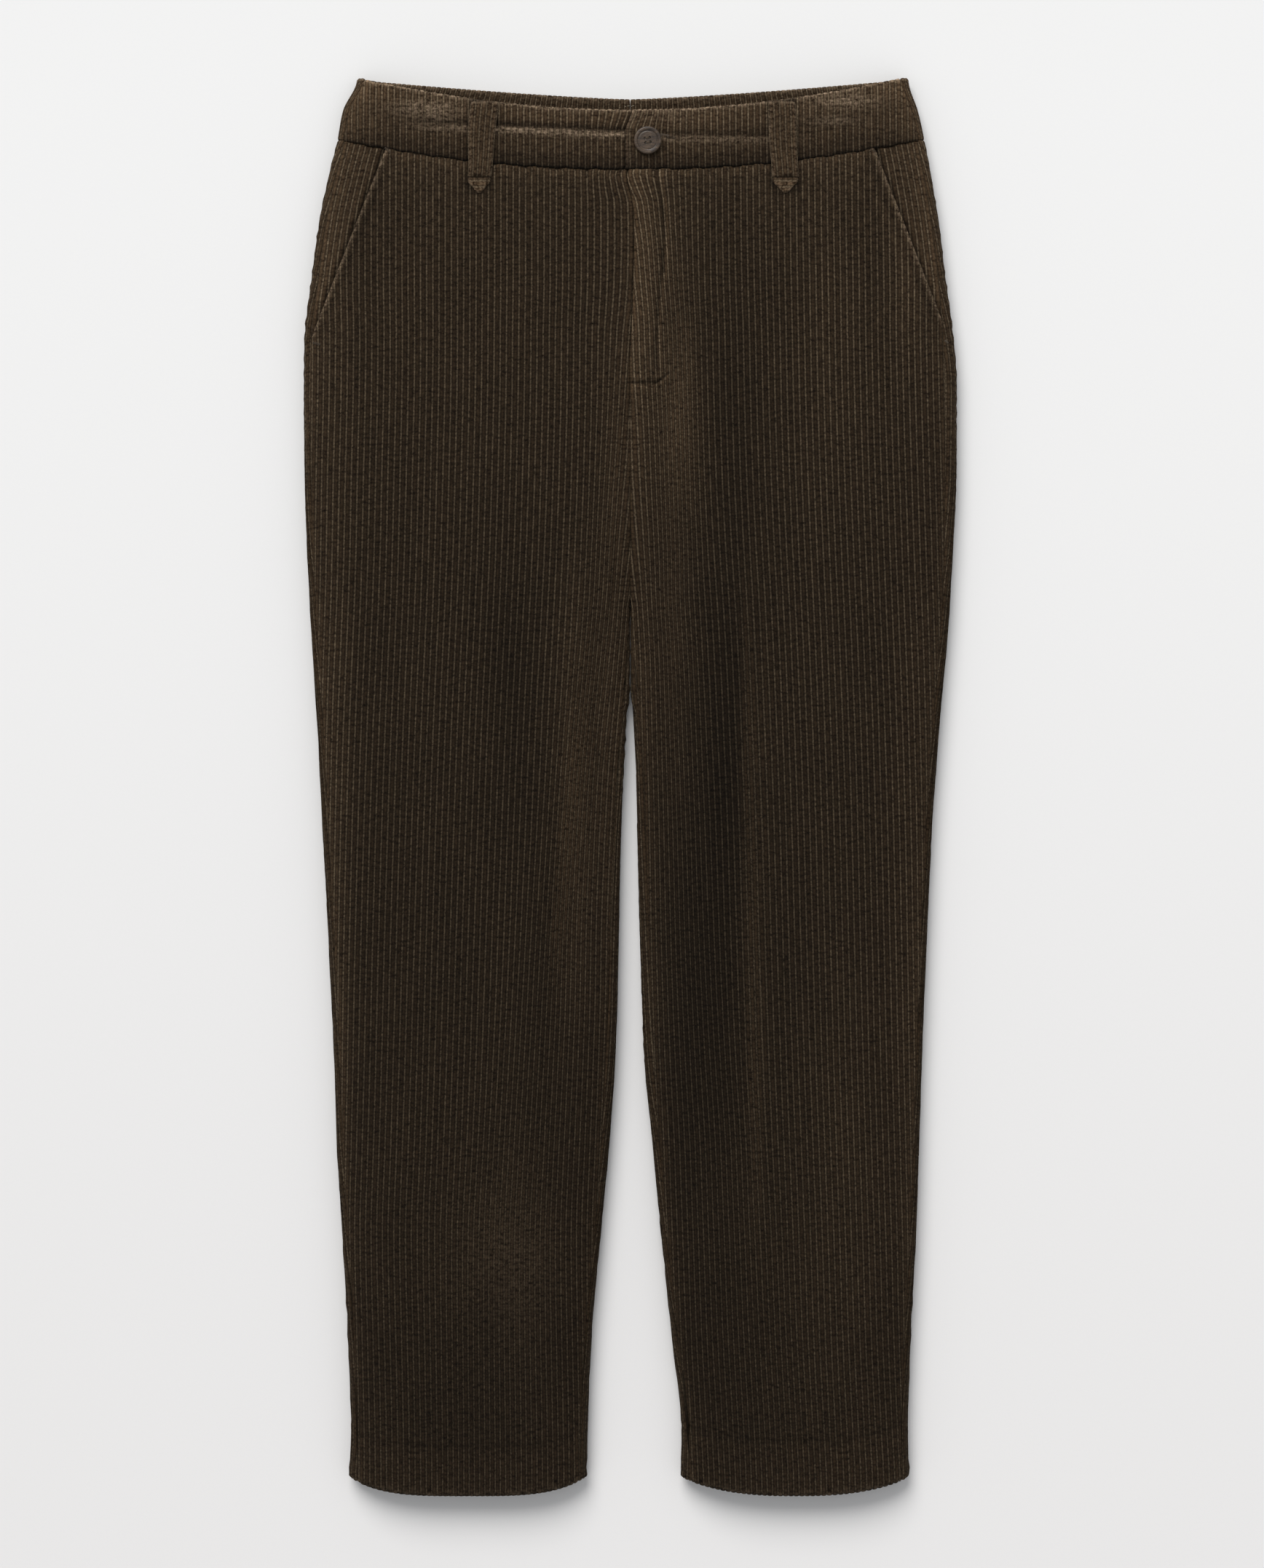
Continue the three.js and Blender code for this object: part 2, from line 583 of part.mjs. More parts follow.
// The button: a turned disc with a raised rim and a dished middle, drilled with four holes.
const BUTTON = { x: 12, y: 443, radius: 9.5, thick: 2.6, rim: 1.9, dish: 0.7, hole: 0.85, apart: 3.2 };
async function button() {
  const wasm = await Module();
  wasm.setup();
  const solid = (geometry) => {
    geometry.deleteAttribute('normal');
    geometry.deleteAttribute('uv');
    const merged = mergeVertices(geometry, 1e-4);
    return new wasm.Manifold(new wasm.Mesh({
      numProp: 3,
      vertProperties: new Float32Array(merged.attributes.position.array),
      triVerts: new Uint32Array(merged.index.array),
    }));
  };
  const { radius: r, thick, rim, dish } = BUTTON;
  const profile = [
    [0, 0], [r - 2, 0], [r - 0.5, 0.6], [r, 1.4], [r - 0.3, thick - 0.3], [r - 0.9, thick],
    [r - rim, thick - 0.15], [r - rim - 0.6, thick - dish], [0, thick - dish - 0.2],
  ].map(([x, y]) => new THREE.Vector2(x, y));
  const stand = (geometry) => geometry.rotateX(Math.PI / 2);
  let disc = solid(stand(new THREE.LatheGeometry(profile, 32)));
  for (const sx of [-1, 1]) {
    for (const sy of [-1, 1]) {
      const drill = stand(new THREE.CylinderGeometry(BUTTON.hole, BUTTON.hole, 3 * thick, 10));
      drill.translate(sx * BUTTON.apart / 2, sy * BUTTON.apart / 2, 0);
      disc = disc.subtract(solid(drill));
    }
  }
  const mesh = disc.getMesh();
  const geometry = solidFrom(Array.from(mesh.vertProperties), Array.from(mesh.triVerts));
  const made = add('button', geometry, HORN);
  const arcOf = (s) => arcAt(s.line, BUTTON.x);
  const seat = place(LEFT, BUTTON.y, arcOf, 0).z + bandRise(LEFT, BUTTON.x - BUTTON.radius, BUTTON.y);
  made.position.set(BUTTON.x, BUTTON.y, seat + RIB + 2 * SEAM);
}

for (const side of [RIGHT, LEFT]) {
  frontPanel(side);
  backPanel(side);
  pocketBearer(side);
  frontBand(side);
  backBand(side);
}
LOOPS.forEach(beltLoop);
await button();

export default parts;
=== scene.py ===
# %% [markdown]
# # Corduroy trousers, laid flat
#
# These trousers are sewn from corduroy with wide ribs, which weavers call wales. They lie on their
# back, so one picture from above shows the fronts, the waistband, the fly and both pockets.
#
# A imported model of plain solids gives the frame: where each piece is and how large it is. Each solid
# is replaced here by a wall of cloth whose wales are real geometry, so that a light from the side
# finds every one of them. The sizes in the tables are millimetres, and a mesh gets metres.

# %% Load the frame
import json

import bmesh
import bpy
import numpy as np
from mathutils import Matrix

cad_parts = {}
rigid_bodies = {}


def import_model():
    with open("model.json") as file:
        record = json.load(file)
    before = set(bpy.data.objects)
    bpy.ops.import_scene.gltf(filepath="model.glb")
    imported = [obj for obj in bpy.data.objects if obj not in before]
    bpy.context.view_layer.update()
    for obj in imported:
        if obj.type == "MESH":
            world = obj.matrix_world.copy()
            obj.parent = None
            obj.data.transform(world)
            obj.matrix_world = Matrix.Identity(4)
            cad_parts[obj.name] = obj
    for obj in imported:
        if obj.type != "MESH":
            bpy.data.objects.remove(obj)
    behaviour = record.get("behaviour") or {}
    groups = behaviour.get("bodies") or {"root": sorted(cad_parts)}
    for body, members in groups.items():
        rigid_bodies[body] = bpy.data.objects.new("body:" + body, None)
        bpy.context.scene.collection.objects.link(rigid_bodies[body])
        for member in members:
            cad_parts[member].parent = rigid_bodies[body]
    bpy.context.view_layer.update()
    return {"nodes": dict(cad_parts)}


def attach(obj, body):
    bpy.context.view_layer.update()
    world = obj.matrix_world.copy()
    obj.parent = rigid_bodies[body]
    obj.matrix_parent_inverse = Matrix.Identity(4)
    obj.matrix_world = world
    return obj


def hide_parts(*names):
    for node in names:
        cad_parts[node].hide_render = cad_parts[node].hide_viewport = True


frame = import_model()
print("nodes to dress:", len(frame["nodes"]))

# %% [markdown]
# ## Sizes
#
# A pattern cutter works from a few driving sizes. The same ones are used here for every piece, so
# that a seam's two edges are cut from one line and stay together.

# %% Driving sizes, in millimetres
MM = 0.001
RIGHT, LEFT = -1, 1  # the wearer's right is on -X
SIDES = (RIGHT, "right"), (LEFT, "left")
WALE = 4.2  # pitch of the wales
PILE = 0.8  # height of a wale over its grooves
CLOTH = 1.3  # the wall under the grooves
HEM_CLOTH = 2.4  # the same where the hem is turned up inside
BAND_CLOTH = 2.0
BAND_PROUD = 0.5  # how far the doubled band stands above the fronts
SEAM = 0.3  # clear gap between two solids
SEWN = 0.03  # gap between two sewn edges, which the thread pulls together
WAIST = 488.0
CROTCH = 127.5
HEM = -477.0  # the hem's height at the folds
HEM_DROP = 11.0  # how much lower its middle is
POCKET_FOOT = 307.0
SOFTNESS = 4.0  # power of the arch of a leg's section

ROW_STEP = 2.0
ROWS = np.arange(HEM - HEM_DROP - 6, WAIST + 7, ROW_STEP)
ARC_START, ARC_END, ARC_STEP = -16.0, 520.0, 1.0
ARCS = np.arange(ARC_START, ARC_END, ARC_STEP)


def table(names, rows):
    """Short rows as named columns."""
    return dict(zip(names.split(), np.array(rows, float).T))


def mix(a, b, t):
    """a where t is 0 and b where it is 1."""
    return a + (b - a) * t


def smooth(v):
    """0 below 0 and 1 above 1, with a soft S between: 3 v squared less 2 v cubed."""
    v = np.clip(v, 0, 1)
    return v * v * (3 - 2 * v)


def bell(v):
    """A soft hill: e to the power of minus v squared."""
    return np.exp(-np.square(v))


def falloff(v, reach):
    """1 up to an edge and less and less beyond it: e to the power of minus v over the reach."""
    return np.exp(-np.maximum(v, 0) / reach)


OUTLINE = table(
    "y outRight outLeft inRight inLeft waleRight waleLeft",
    [
        [488, 188.8, 192.3, 0.15, 0.15, 122.8, 109.5],
        [466, 198.5, 198.8, 0.15, 0.15, 122.8, 109.5],
        [445, 202.3, 203.3, 0.15, 0.15, 122.8, 109.5],
        [424, 207.5, 207.3, 0.15, 0.15, 122.8, 109.8],
        [390, 214.6, 212.8, 0.15, 0.15, 122.8, 110],
        [350, 220.0, 217.8, 0.15, 0.15, 122.8, 110.5],
        [307, 225.0, 223.5, 0.15, 0.15, 122.8, 111.3],
        [278, 225.3, 225.5, 0.15, 0.15, 123, 111.8],
        [220, 224.8, 225.3, 0.15, 0.15, 124.2, 113.3],
        [165, 223.0, 222.8, 0.15, 0.15, 125.6, 115.5],
        [127.5, 221.3, 220.8, 0.3, 0.3, 127, 117.3],
        [95, 219.3, 218.3, 1.0, 1.6, 128.5, 118.8],
        [40, 215.8, 213.3, 2.8, 3.8, 131, 121],
        [-30, 212.3, 208.3, 6.3, 4.8, 133.5, 123.3],
        [-110, 208.0, 204.5, 8.0, 6.8, 136, 125.3],
        [-190, 204.3, 201.3, 10.3, 9.8, 138.3, 127.5],
        [-250, 202.3, 199.3, 14.8, 15.8, 140.3, 129.6],
        [-310, 198.8, 197.3, 20.3, 21.3, 142.3, 131.8],
        [-380, 195.0, 193.8, 26.5, 28.5, 141.2, 134],
        [-448, 192.8, 191.8, 29.3, 35.3, 140, 137.3],
        [-477, 194.3, 192.8, 29.8, 34.8, 139.8, 138.8],
        [-488, 194.3, 192.8, 29.8, 34.8, 139.8, 139],
    ],
)
LEVELS = table(
    "y crown fold valley lift pinch draw wrap reachRight reachLeft",
    [
        [488, 19, 7.5, 18.5, 0, 0, 1.01, 0, 7.5, 7.5],
        [445, 22.5, 9, 22, 0, 0, 1.01, 0, 7.5, 7.5],
        [350, 25, 9.8, 24.5, 0, 0, 1.01, 0, 7.5, 8],
        [307, 25.5, 9.8, 25, 0, 0, 1, 0, 7.5, 11],
        [278, 26, 9.8, 25, 0, 0, 1, 0, 7.5, 12],
        [220, 26.5, 9.8, 22.5, 0, 0.2, 1, 0, 7.5, 12],
        [165, 27, 10, 16, 3.5, 0.6, 0.995, 0, 7.5, 10],
        [127.5, 27, 10, 10, 10, 1, 0.99, 0, 7.5, 9],
        [40, 27, 10, 10, 10, 1, 0.985, 6, 7.5, 8],
        [-110, 27, 10, 10, 10, 1, 0.975, 7, 7.5, 7.5],
        [-310, 25.5, 10, 10, 10, 1, 0.95, 7, 7.5, 7.5],
        [-448, 24, 9.5, 9.5, 9.5, 1, 0.94, 8, 8, 8],
        [-488, 22.5, 9, 9, 9, 1, 0.94, 8, 8, 8],
    ],
)
print("heights worked out:", len(ROWS), "from", ROWS[0], "to", ROWS[-1], "mm")

# %% [markdown]
# ## How the cloth lies
#
# Cloth that lies flat is never flat. It rises from a round fold at the side, stays high over the
# cloth below, and sinks again at the inner fold, with soft ridges and troughs where it was smoothed
# by hand. A cloth simulation could find such a shape, but it wouldn't find this one. So the shape is
# written down: a section line for each height, and a table of folds that run along the legs.
#
# Where a fold's flank is steep, the wales look closer together from above, as in the real garment.

# %% Folds along the legs
# A ridge or trough a row. It runs from (dTop, top) to (dBottom, bottom), d from the centre line.
FOLDS = table(
    "side dTop dBottom top bottom width rise",
    [
        [RIGHT, 22, 26, 175, -120, 8, -3.0],
        [RIGHT, 56, 76, 150, -330, 15, 2.6],
        [RIGHT, 118, 108, 360, 60, 26, 0.9],
        [RIGHT, 172, 150, 250, -60, 20, -0.8],
        [RIGHT, 150, 166, -120, -400, 16, 1.2],
        [RIGHT, 96, 84, -240, -440, 17, -1.2],
        [RIGHT, 124, 96, -90, -250, 10, -0.9],
        [RIGHT, 20, 64, 420, 240, 22, -0.8],
        [LEFT, 27, 40, 300, 0, 8, 2.6],
        [LEFT, 52, 60, 330, 40, 14, -1.6],
        [LEFT, 84, 94, 200, -390, 9, 2.6],
        [LEFT, 66, 72, 60, -300, 12, -1.3],
        [LEFT, 128, 140, 260, -160, 22, 0.8],
        [LEFT, 160, 172, 60, -360, 18, -1.0],
        [LEFT, 118, 150, -250, -470, 13, 1.3],
        [LEFT, 60, 52, -260, -460, 12, 1.0],
        [LEFT, 15, 30, 285, 170, 9, -1.4],
    ],
)
# A step a row: nearer the centre line than d, the cloth lies lower by drop.
STEPS = table(
    "side dTop dBottom top bottom width drop",
    [
        [RIGHT, 31, 56, 90, -170, 7, 5.0],
        [RIGHT, 8, 22, 200, 60, 6, 2.0],
        [LEFT, 44, 38, 240, 60, 7, 3.5],
        [LEFT, 82, 90, 150, -330, 7, 3.0],
    ],
)
FOLD_END = 90.0  # a fold fades in and out over this length


def along_fold(row, y):
    """How far down a fold is, and where its line is there: 0 to 1, and mm from the centre line."""
    t = np.clip((row["top"] - y) / (row["top"] - row["bottom"]), 0, 1)
    fade = smooth((row["top"] - y) / FOLD_END) * smooth((y - row["bottom"]) / FOLD_END)
    return fade, mix(row["dTop"], row["dBottom"], t)


def rows_on(columns, side):
    """The rows of a table that are on one side."""
    return [values for values in zip(*columns.values()) if values[0] == side]


def rows_of(columns, side):
    """The same rows, each with its named values."""
    return [dict(zip(columns, values)) for values in rows_on(columns, side)]


def fold_rise(side, d, y):
    """Height that the folds add: each adds a hill across its line, and a step adds an S."""
    rise = np.zeros(np.broadcast(d, y).shape)
    for row in rows_of(FOLDS, side):
        fade, line = along_fold(row, y)
        rise += row["rise"] * fade * bell((d - line) / row["width"])
    for row in rows_of(STEPS, side):
        fade, line = along_fold(row, y)
        rise -= row["drop"] * fade * smooth(0.5 - (d - line) / (2 * row["width"]))
    return rise


print("ridges and troughs:", len(FOLDS["side"]), "steps:", len(STEPS["side"]))


# %% Section lines
def through(x, xs, ys):
    """A smooth line through points, with no overshoot: a cubic between each two points, whose slope
    at a point is the harmonic mean of the slopes on both sides, or 0 where the line turns back."""
    order = np.argsort(xs)
    xs, ys = xs[order], ys[order]
    h = np.diff(xs)
    chord = np.diff(ys) / h
    slope = np.zeros(len(xs))
    same = chord[:-1] * chord[1:] > 0
    slope[1:-1][same] = 2 / (1 / chord[:-1][same] + 1 / chord[1:][same])
    i = np.clip(np.searchsorted(xs, x) - 1, 0, len(h) - 1)
    t = np.clip((x - xs[i]) / h[i], 0, 1)
    start = (1 + 2 * t) * (1 - t) ** 2 * ys[i] + t * (1 - t) ** 2 * h[i] * slope[i]
    end = t * t * (3 - 2 * t) * ys[i + 1] - t * t * (1 - t) * h[i] * slope[i + 1]
    return start + end


def section_lines(side):
    """The line that one side's cloth follows at each height: from the centre seam or the inner fold
    over the crown, down round the outer fold, along the floor and up again at the inner fold. The
    arches are superellipses and the folds quarter circles. Then each line is read again at even
    steps of its own length, the arc, so that any wale is found by counting."""
    name = "Right" if side == RIGHT else "Left"
    y = ROWS
    row = {k: through(y, OUTLINE["y"], v) for k, v in OUTLINE.items()}
    row |= {k: through(y, LEVELS["y"], v) for k, v in LEVELS.items() if k != "y"}
    outer = row["out" + name] - PILE
    inner = row["in" + name] + PILE * np.clip(row["pinch"] * 5, 0, 1)
    crown_at, half = (outer + inner) / 2, (outer - inner) / 2
    column = {k: v[:, None] for k, v in row.items()}
    turn = np.linspace(0, np.pi / 2, 61)[None]
    away = np.cos(turn) ** (2 / SOFTNESS)
    soft = (1 + np.cos(np.pi * away)) / 2
    arch = mix(soft, np.sin(turn), column["pinch"])
    d = crown_at[:, None] - half[:, None] * away
    inward = d, mix(column["valley"], column["crown"], arch)
    back = turn[:, ::-1][:, 1:]
    d = crown_at[:, None] + half[:, None] * np.cos(back) ** (2 / SOFTNESS)
    outward = d, mix(column["fold"], column["crown"], np.sin(back))
    rise = [
        fold_rise(side, d, y[:, None]) * np.sin(angle)
        for (d, _), angle in ((inward, turn), (outward, back))
    ]
    bend = np.linspace(0, np.pi / 2, 17)[None, 1:]
    bends = bend.shape[1]
    fold, lift = column["fold"], column["lift"]
    round_fold = outer[:, None] - fold * (1 - np.cos(bend)), fold * (1 - np.sin(bend))
    floor = inner[:, None] + lift, 0 * lift
    up = inner[:, None] + lift * (1 - np.sin(bend)), lift * (1 - np.cos(bend))
    d = np.hstack([inward[0], outward[0], round_fold[0], floor[0], up[0]])
    z = np.hstack([inward[1] + rise[0], outward[1] + rise[1], round_fold[1], floor[1], up[1]])
    arc = np.hypot(np.diff(d, prepend=d[:, :1]), np.diff(z, prepend=z[:, :1])).cumsum(1)
    arc += np.arange(d.shape[1]) * 1e-7
    widest = inward[0].shape[1] + outward[0].shape[1] - 1
    lines = {
        "y": y,
        "draw": row["draw"],
        "outer": outer,
        "inner": inner,
        "length": arc[:, -1],
        "floorStart": arc[:, widest + bends],
        "floorEnd": arc[:, widest + bends + 1],
        "inseam": row["wrap"],
        "outseam": arc[:, widest] - row["reach" + name],
        "widest": arc[:, widest],
    }
    lines["wale"] = np.array(
        [np.interp(w, dr[:widest], ar[:widest]) for w, dr, ar in zip(row["wale" + name], d, arc)]
    )
    lines["d"], lines["z"] = np.empty((2, len(y), len(ARCS)))
    for i in range(len(y)):
        long = arc[i, -1]
        wrapped = np.where((ARCS > long) & (y[i] <= CROTCH), ARCS - long, ARCS)
        lines["d"][i] = np.interp(wrapped, arc[i], d[i]) + np.minimum(wrapped, 0)
        lines["z"][i] = np.interp(wrapped, arc[i], z[i])
    d_step, z_step = (np.gradient(lines[k], ARC_STEP, axis=1) for k in "dz")
    size = np.maximum(np.hypot(d_step, z_step), 1e-6)
    lines["nd"], lines["nz"] = -z_step / size, d_step / size
    return straighten(lines)


def straighten(lines):
    """A front is widest at one height, and from there each seam only cuts wales off. So each seam is
    moved a little where it would take a wale up again: a running minimum of the wales' count."""
    inward = (lines["wale"] - lines["inseam"]) / lines["draw"]
    outward = (lines["outseam"] - lines["wale"]) / lines["draw"]
    below = np.flatnonzero(ROWS <= CROTCH)[::-1]
    inward[below] = np.minimum.accumulate(inward[below])
    widest = outward.argmax()
    up, down = np.arange(widest, len(ROWS)), np.arange(widest, -1, -1)
    outward[up] = np.minimum.accumulate(outward[up])
    outward[down] = np.minimum.accumulate(outward[down])
    lines["inseam"] = lines["wale"] - inward * lines["draw"]
    lines["outseam"] = lines["wale"] + outward * lines["draw"]
    return lines


SECTIONS = {side: section_lines(side) for side in (RIGHT, LEFT)}
hip = np.abs(ROWS - 280).argmin()
for side, name in SIDES:
    print(name, "cloth round the hip:", round(SECTIONS[side]["length"][hip]), "mm")

# %% [markdown]
# ## Reading the lie
#
# A piece of cloth is a grid: its columns run along the wales and its rows across them. Each column
# has a place on the section lines at every height, and ends where a seam or a hem cuts it. So a
# column can stop at a slanting seam while the next one runs on, just as the scissors leave them.


# %% Columns of cloth
def side_lines(side):
    """The lines of one side that have one number a height, as columns."""
    return {k: v[:, None] for k, v in SECTIONS[side].items() if v.ndim == 1}


def split(place, count):
    """A place in a list of count values: the value before it, and how far it is past that one."""
    place = np.clip(place, 0, count - 1.001)
    i = place.astype(int)
    return i, place - i


def lay(side, arcs):
    """Columns on the section lines: arcs[row, column] gives d, z and the face's direction there."""
    i, t = split((arcs - ARC_START) / ARC_STEP, len(ARCS))
    row = np.arange(len(ROWS))[:, None]
    lines = SECTIONS[side]
    return {k: mix(lines[k][row, i], lines[k][row, i + 1], t) for k in ("d", "z", "nd", "nz")}


def at_heights(field, y):
    """A field[row, column] over ROWS, read at the heights y, straight between two rows."""
    i, t = split((y - ROWS[0]) / ROW_STEP, len(ROWS))
    column = np.arange(field.shape[1])[None]
    return mix(field[i, column], field[i + 1, column], t)


def span(inside):
    """The highest and lowest height of each column where inside is not below 0."""
    within = inside >= 0
    low, high = within.argmax(0), len(ROWS) - 1 - within[::-1].argmax(0)
    column = np.arange(inside.shape[1])

    def edge(i, step):
        j = np.clip(i + step, 0, len(ROWS) - 1)
        a, b = inside[i, column], inside[j, column]
        share = np.where(a > b, a / np.where(a > b, a - b, 1), 0)
        return ROWS[i] + (ROWS[j] - ROWS[i]) * np.clip(share, 0, 1)

    return edge(high, 1), edge(low, -1), within.any(0)


def heights(top, bottom, from_top, from_bottom, between, band=None):
    """Heights down each column: at the given distances from both ends, and evenly between them. A
    column that is too short for them has them drawn together. A band gives heights that every column
    has as they are, and how many rows lie above them."""
    long = top - bottom
    squeeze = np.minimum(1, long / (1.3 * (from_top[-1] + from_bottom[-1])))
    upper = top - np.array(from_top)[:, None] * squeeze
    lower = bottom + np.array(from_bottom)[:, None] * squeeze
    if band is None:
        t = np.linspace(0, 1, between + 2)[1:-1, None]
        return np.vstack([upper, mix(upper[-1], lower[-1], t), lower[::-1]])
    above, fixed = band
    first = np.minimum(fixed[0], upper[-1] - 0.02 * above)
    middle = first - (fixed[0] - np.array(fixed))[:, None]
    t = np.linspace(0, 1, above + 2)[1:-1, None]
    rest = np.linspace(0, 1, between - above - len(fixed) + 2)[1:-1, None]
    rows = mix(upper[-1], first, t), middle, mix(middle[-1], lower[-1], rest)
    return np.vstack([upper, *rows, lower[::-1]])


# %% [markdown]
# ## The wale
#
# In section a wale is a round cushion of pile, with a narrow groove on each side that lets the ground
# weave show. Six columns a wale are enough: two in the groove's flank on each side, one on top and one
# at the bottom of the groove.

# %% The wale's section
WALE_STEPS = np.array([0, 0.09, 0.24, 0.5, 0.76, 0.91])


def wales(first, last):
    """Where the columns lie across the cloth, counted in wales. A whole number is a groove."""
    return (np.arange(first, last)[:, None] + WALE_STEPS).ravel()


def pile(phase):
    """A wale's section from 0 in the groove to 1 on top: the root of 1 less x to the fourth, where x
    is 1 in the groove and 0 in the middle."""
    x = np.abs(2 * (phase % 1) - 1)
    return np.sqrt(np.clip(1 - x**4, 0, 1))


def scallop(phase):
    """A round end of a wale: the root of 1 less x squared, where x is 1 in the groove."""
    return np.sqrt(1 - (2 * (phase % 1) - 1) ** 2)


def roll(e, radius, depth):
    """How far an edge rolls down: a quarter of an ellipse over the distance e from the edge."""
    return -depth * (1 - np.sqrt(1 - np.clip(1 - e / radius, 0, 1) ** 2))


print("columns a wale:", len(WALE_STEPS), "- heights:", pile(WALE_STEPS).round(2))

# %% [markdown]
# ## From grids to meshes
#
# A wall of cloth has a fine outer grid and a plain inner one. The inner grid keeps only some rows
# and columns, and a rim of triangles joins the two along all four edges, so the wall is closed.
# Each point also keeps numbers for the finish: where it is in the cloth (its UV), whether it is on the
# pile side, how worn it is together with its painted highlight, and a tone that holds painted light and
# shade over the cloth's own lightness.


# %% Mesh helpers
def stacked(*parts):
    """Two or three grids of numbers as one grid of points."""
    return np.stack(np.broadcast_arrays(*parts), -1)


def quads(ids):
    """The faces of a grid of point numbers."""
    return np.stack([ids[:-1, :-1], ids[1:, :-1], ids[1:, 1:], ids[:-1, 1:]], -1).reshape(-1, 4)


def rim(outer, inner, kept):
    """Triangles between a fine line of points and a coarse one, each to its nearest kept point."""
    near = np.abs(np.arange(len(outer))[:, None] - kept[None]).argmin(1)
    a, b = outer[:-1], outer[1:]
    c, d = inner[near[:-1]], inner[near[1:]]
    moved = c != d
    return np.vstack([np.stack([a, b, c], -1), np.stack([b, d, c], -1)[moved]])


def placed(name, data):
    """A new object in the scene with this mesh, light or camera."""
    made = bpy.data.objects.new(name, data)
    bpy.context.collection.objects.link(made)
    return made


def new_mesh(name, points, faces, material, uv=None, fields=None, sharp=None):
    """A mesh from arrays. points are millimetres, and faces are arrays of triangles or quads. They
    are turned outwards by the sign of the volume that they enclose."""
    volume = 0.0
    for f in faces:
        for k in range(1, f.shape[1] - 1):
            a, b, c = (points[f[:, i]] for i in (0, k, k + 1))
            volume += np.einsum("ij,ij->", a, np.cross(b, c))
    if volume < 0:
        faces = [f[:, ::-1] for f in faces]
    loops = np.concatenate([f.ravel() for f in faces]).astype(np.int32)
    totals = np.concatenate([np.full(len(f), f.shape[1], np.int32) for f in faces])
    starts = np.concatenate([[0], totals.cumsum()[:-1]]).astype(np.int32)
    mesh = bpy.data.meshes.new(name)
    mesh.vertices.add(len(points))
    mesh.vertices.foreach_set("co", (points * MM).astype(np.float32).ravel())
    mesh.loops.add(len(loops))
    mesh.loops.foreach_set("vertex_index", loops)
    mesh.polygons.add(len(totals))
    mesh.polygons.foreach_set("loop_start", starts)
    mesh.polygons.foreach_set("loop_total", totals)
    mesh.polygons.foreach_set("use_smooth", np.ones(len(totals), bool))
    mesh.update(calc_edges=True)
    if uv is not None:
        layer = mesh.uv_layers.new(name="cloth")
        layer.data.foreach_set("uv", uv[loops].astype(np.float32).ravel())
    for key, values in (fields or {}).items():
        made = mesh.attributes.new(key, "FLOAT", "POINT")
        made.data.foreach_set("value", np.asarray(values, np.float32))
    if sharp:
        mesh.set_sharp_from_angle(angle=np.radians(sharp))
    mesh.materials.append(material)
    piece = placed(name, mesh)
    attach(piece, "root")
    return piece


def kept_steps(count, step):
    """Every step-th number below count, and always the last one."""
    return np.unique(np.append(np.arange(0, count, step), count - 1))


def wall(name, face, back, uv, material, fields, every=(4, 6), both=False):
    """A closed wall of cloth from two grids of points, [row, column, 3]. every is how many of the
    rows and columns the back skips. Where both is true, the cloth shows its pile on both sides."""
    rows, columns = face.shape[:2]
    plain = {"face": 1.0, "wear_and_highlight": 0.0, "tone": 1.0, "squeeze": 0.0}
    fields = {k: np.broadcast_to(v, (rows, columns)) for k, v in (plain | fields).items()}
    outer = np.arange(rows * columns).reshape(rows, columns)
    kept = [kept_steps(n, step) for n, step in zip((rows, columns), every)]
    chosen = back[np.ix_(*kept)]
    inner = outer.size + np.arange(chosen.shape[0] * chosen.shape[1]).reshape(chosen.shape[:2])
    triangles = [
        rim(outer[0], inner[0], kept[1]),
        rim(outer[-1], inner[-1], kept[1])[:, ::-1],
        rim(outer[:, 0], inner[:, 0], kept[0])[:, ::-1],
        rim(outer[:, -1], inner[:, -1], kept[0]),
    ]
    faces = [quads(outer), quads(inner)[:, ::-1], np.vstack(triangles)]
    points = np.vstack([face.reshape(-1, 3), chosen.reshape(-1, 3)])
    uv_all = np.vstack([uv.reshape(-1, 2), uv[np.ix_(*kept)].reshape(-1, 2)])
    joined = {
        key: np.append(value, value[np.ix_(*kept)] * (both or key == "tone"))
        for key, value in fields.items()
    }
    piece = new_mesh(name, points, faces, material, uv_all, joined)
    print(f"{name}: {len(points)} points, {sum_area(face) / 1e6:.3f} square metres of cloth")
    return piece


def sum_area(grid):
    """The area of a grid of points, by the cross product of each cell's diagonals."""
    a = grid[1:, 1:] - grid[:-1, :-1]
    b = grid[1:, :-1] - grid[:-1, 1:]
    return np.linalg.norm(np.cross(a, b), axis=-1).sum() / 2


# %% [markdown]
# ## Shader maths in Python
#
# A material is a graph of nodes. Written node by node, a formula is hard to read, so a small class
# wraps an output and lends it Python's operators: each operator adds one Math node.


# %% A wrapper for sockets
class Value:
    """One output of a node. Each operator on it adds the Math node of that name."""

    def __init__(self, finish, output):
        self.finish, self.output = finish, output

    def math(self, operation, *others):
        return self.finish.math(operation, self, *others)

    def __add__(self, other):
        return self.math("ADD", other)

    def __sub__(self, other):
        return self.math("SUBTRACT", other)

    def __mul__(self, other):
        return self.math("MULTIPLY", other)

    def __rsub__(self, other):
        return self.finish.math("SUBTRACT", other, self)

    __radd__ = __add__

    def step(self, low, high):
        """0 below low and 1 above high, with a soft S between."""
        ends = {"From Min": low, "From Max": high}
        settings = {"interpolation_type": "SMOOTHSTEP"}
        return self.finish.add("ShaderNodeMapRange", settings, {"Value": self} | ends)


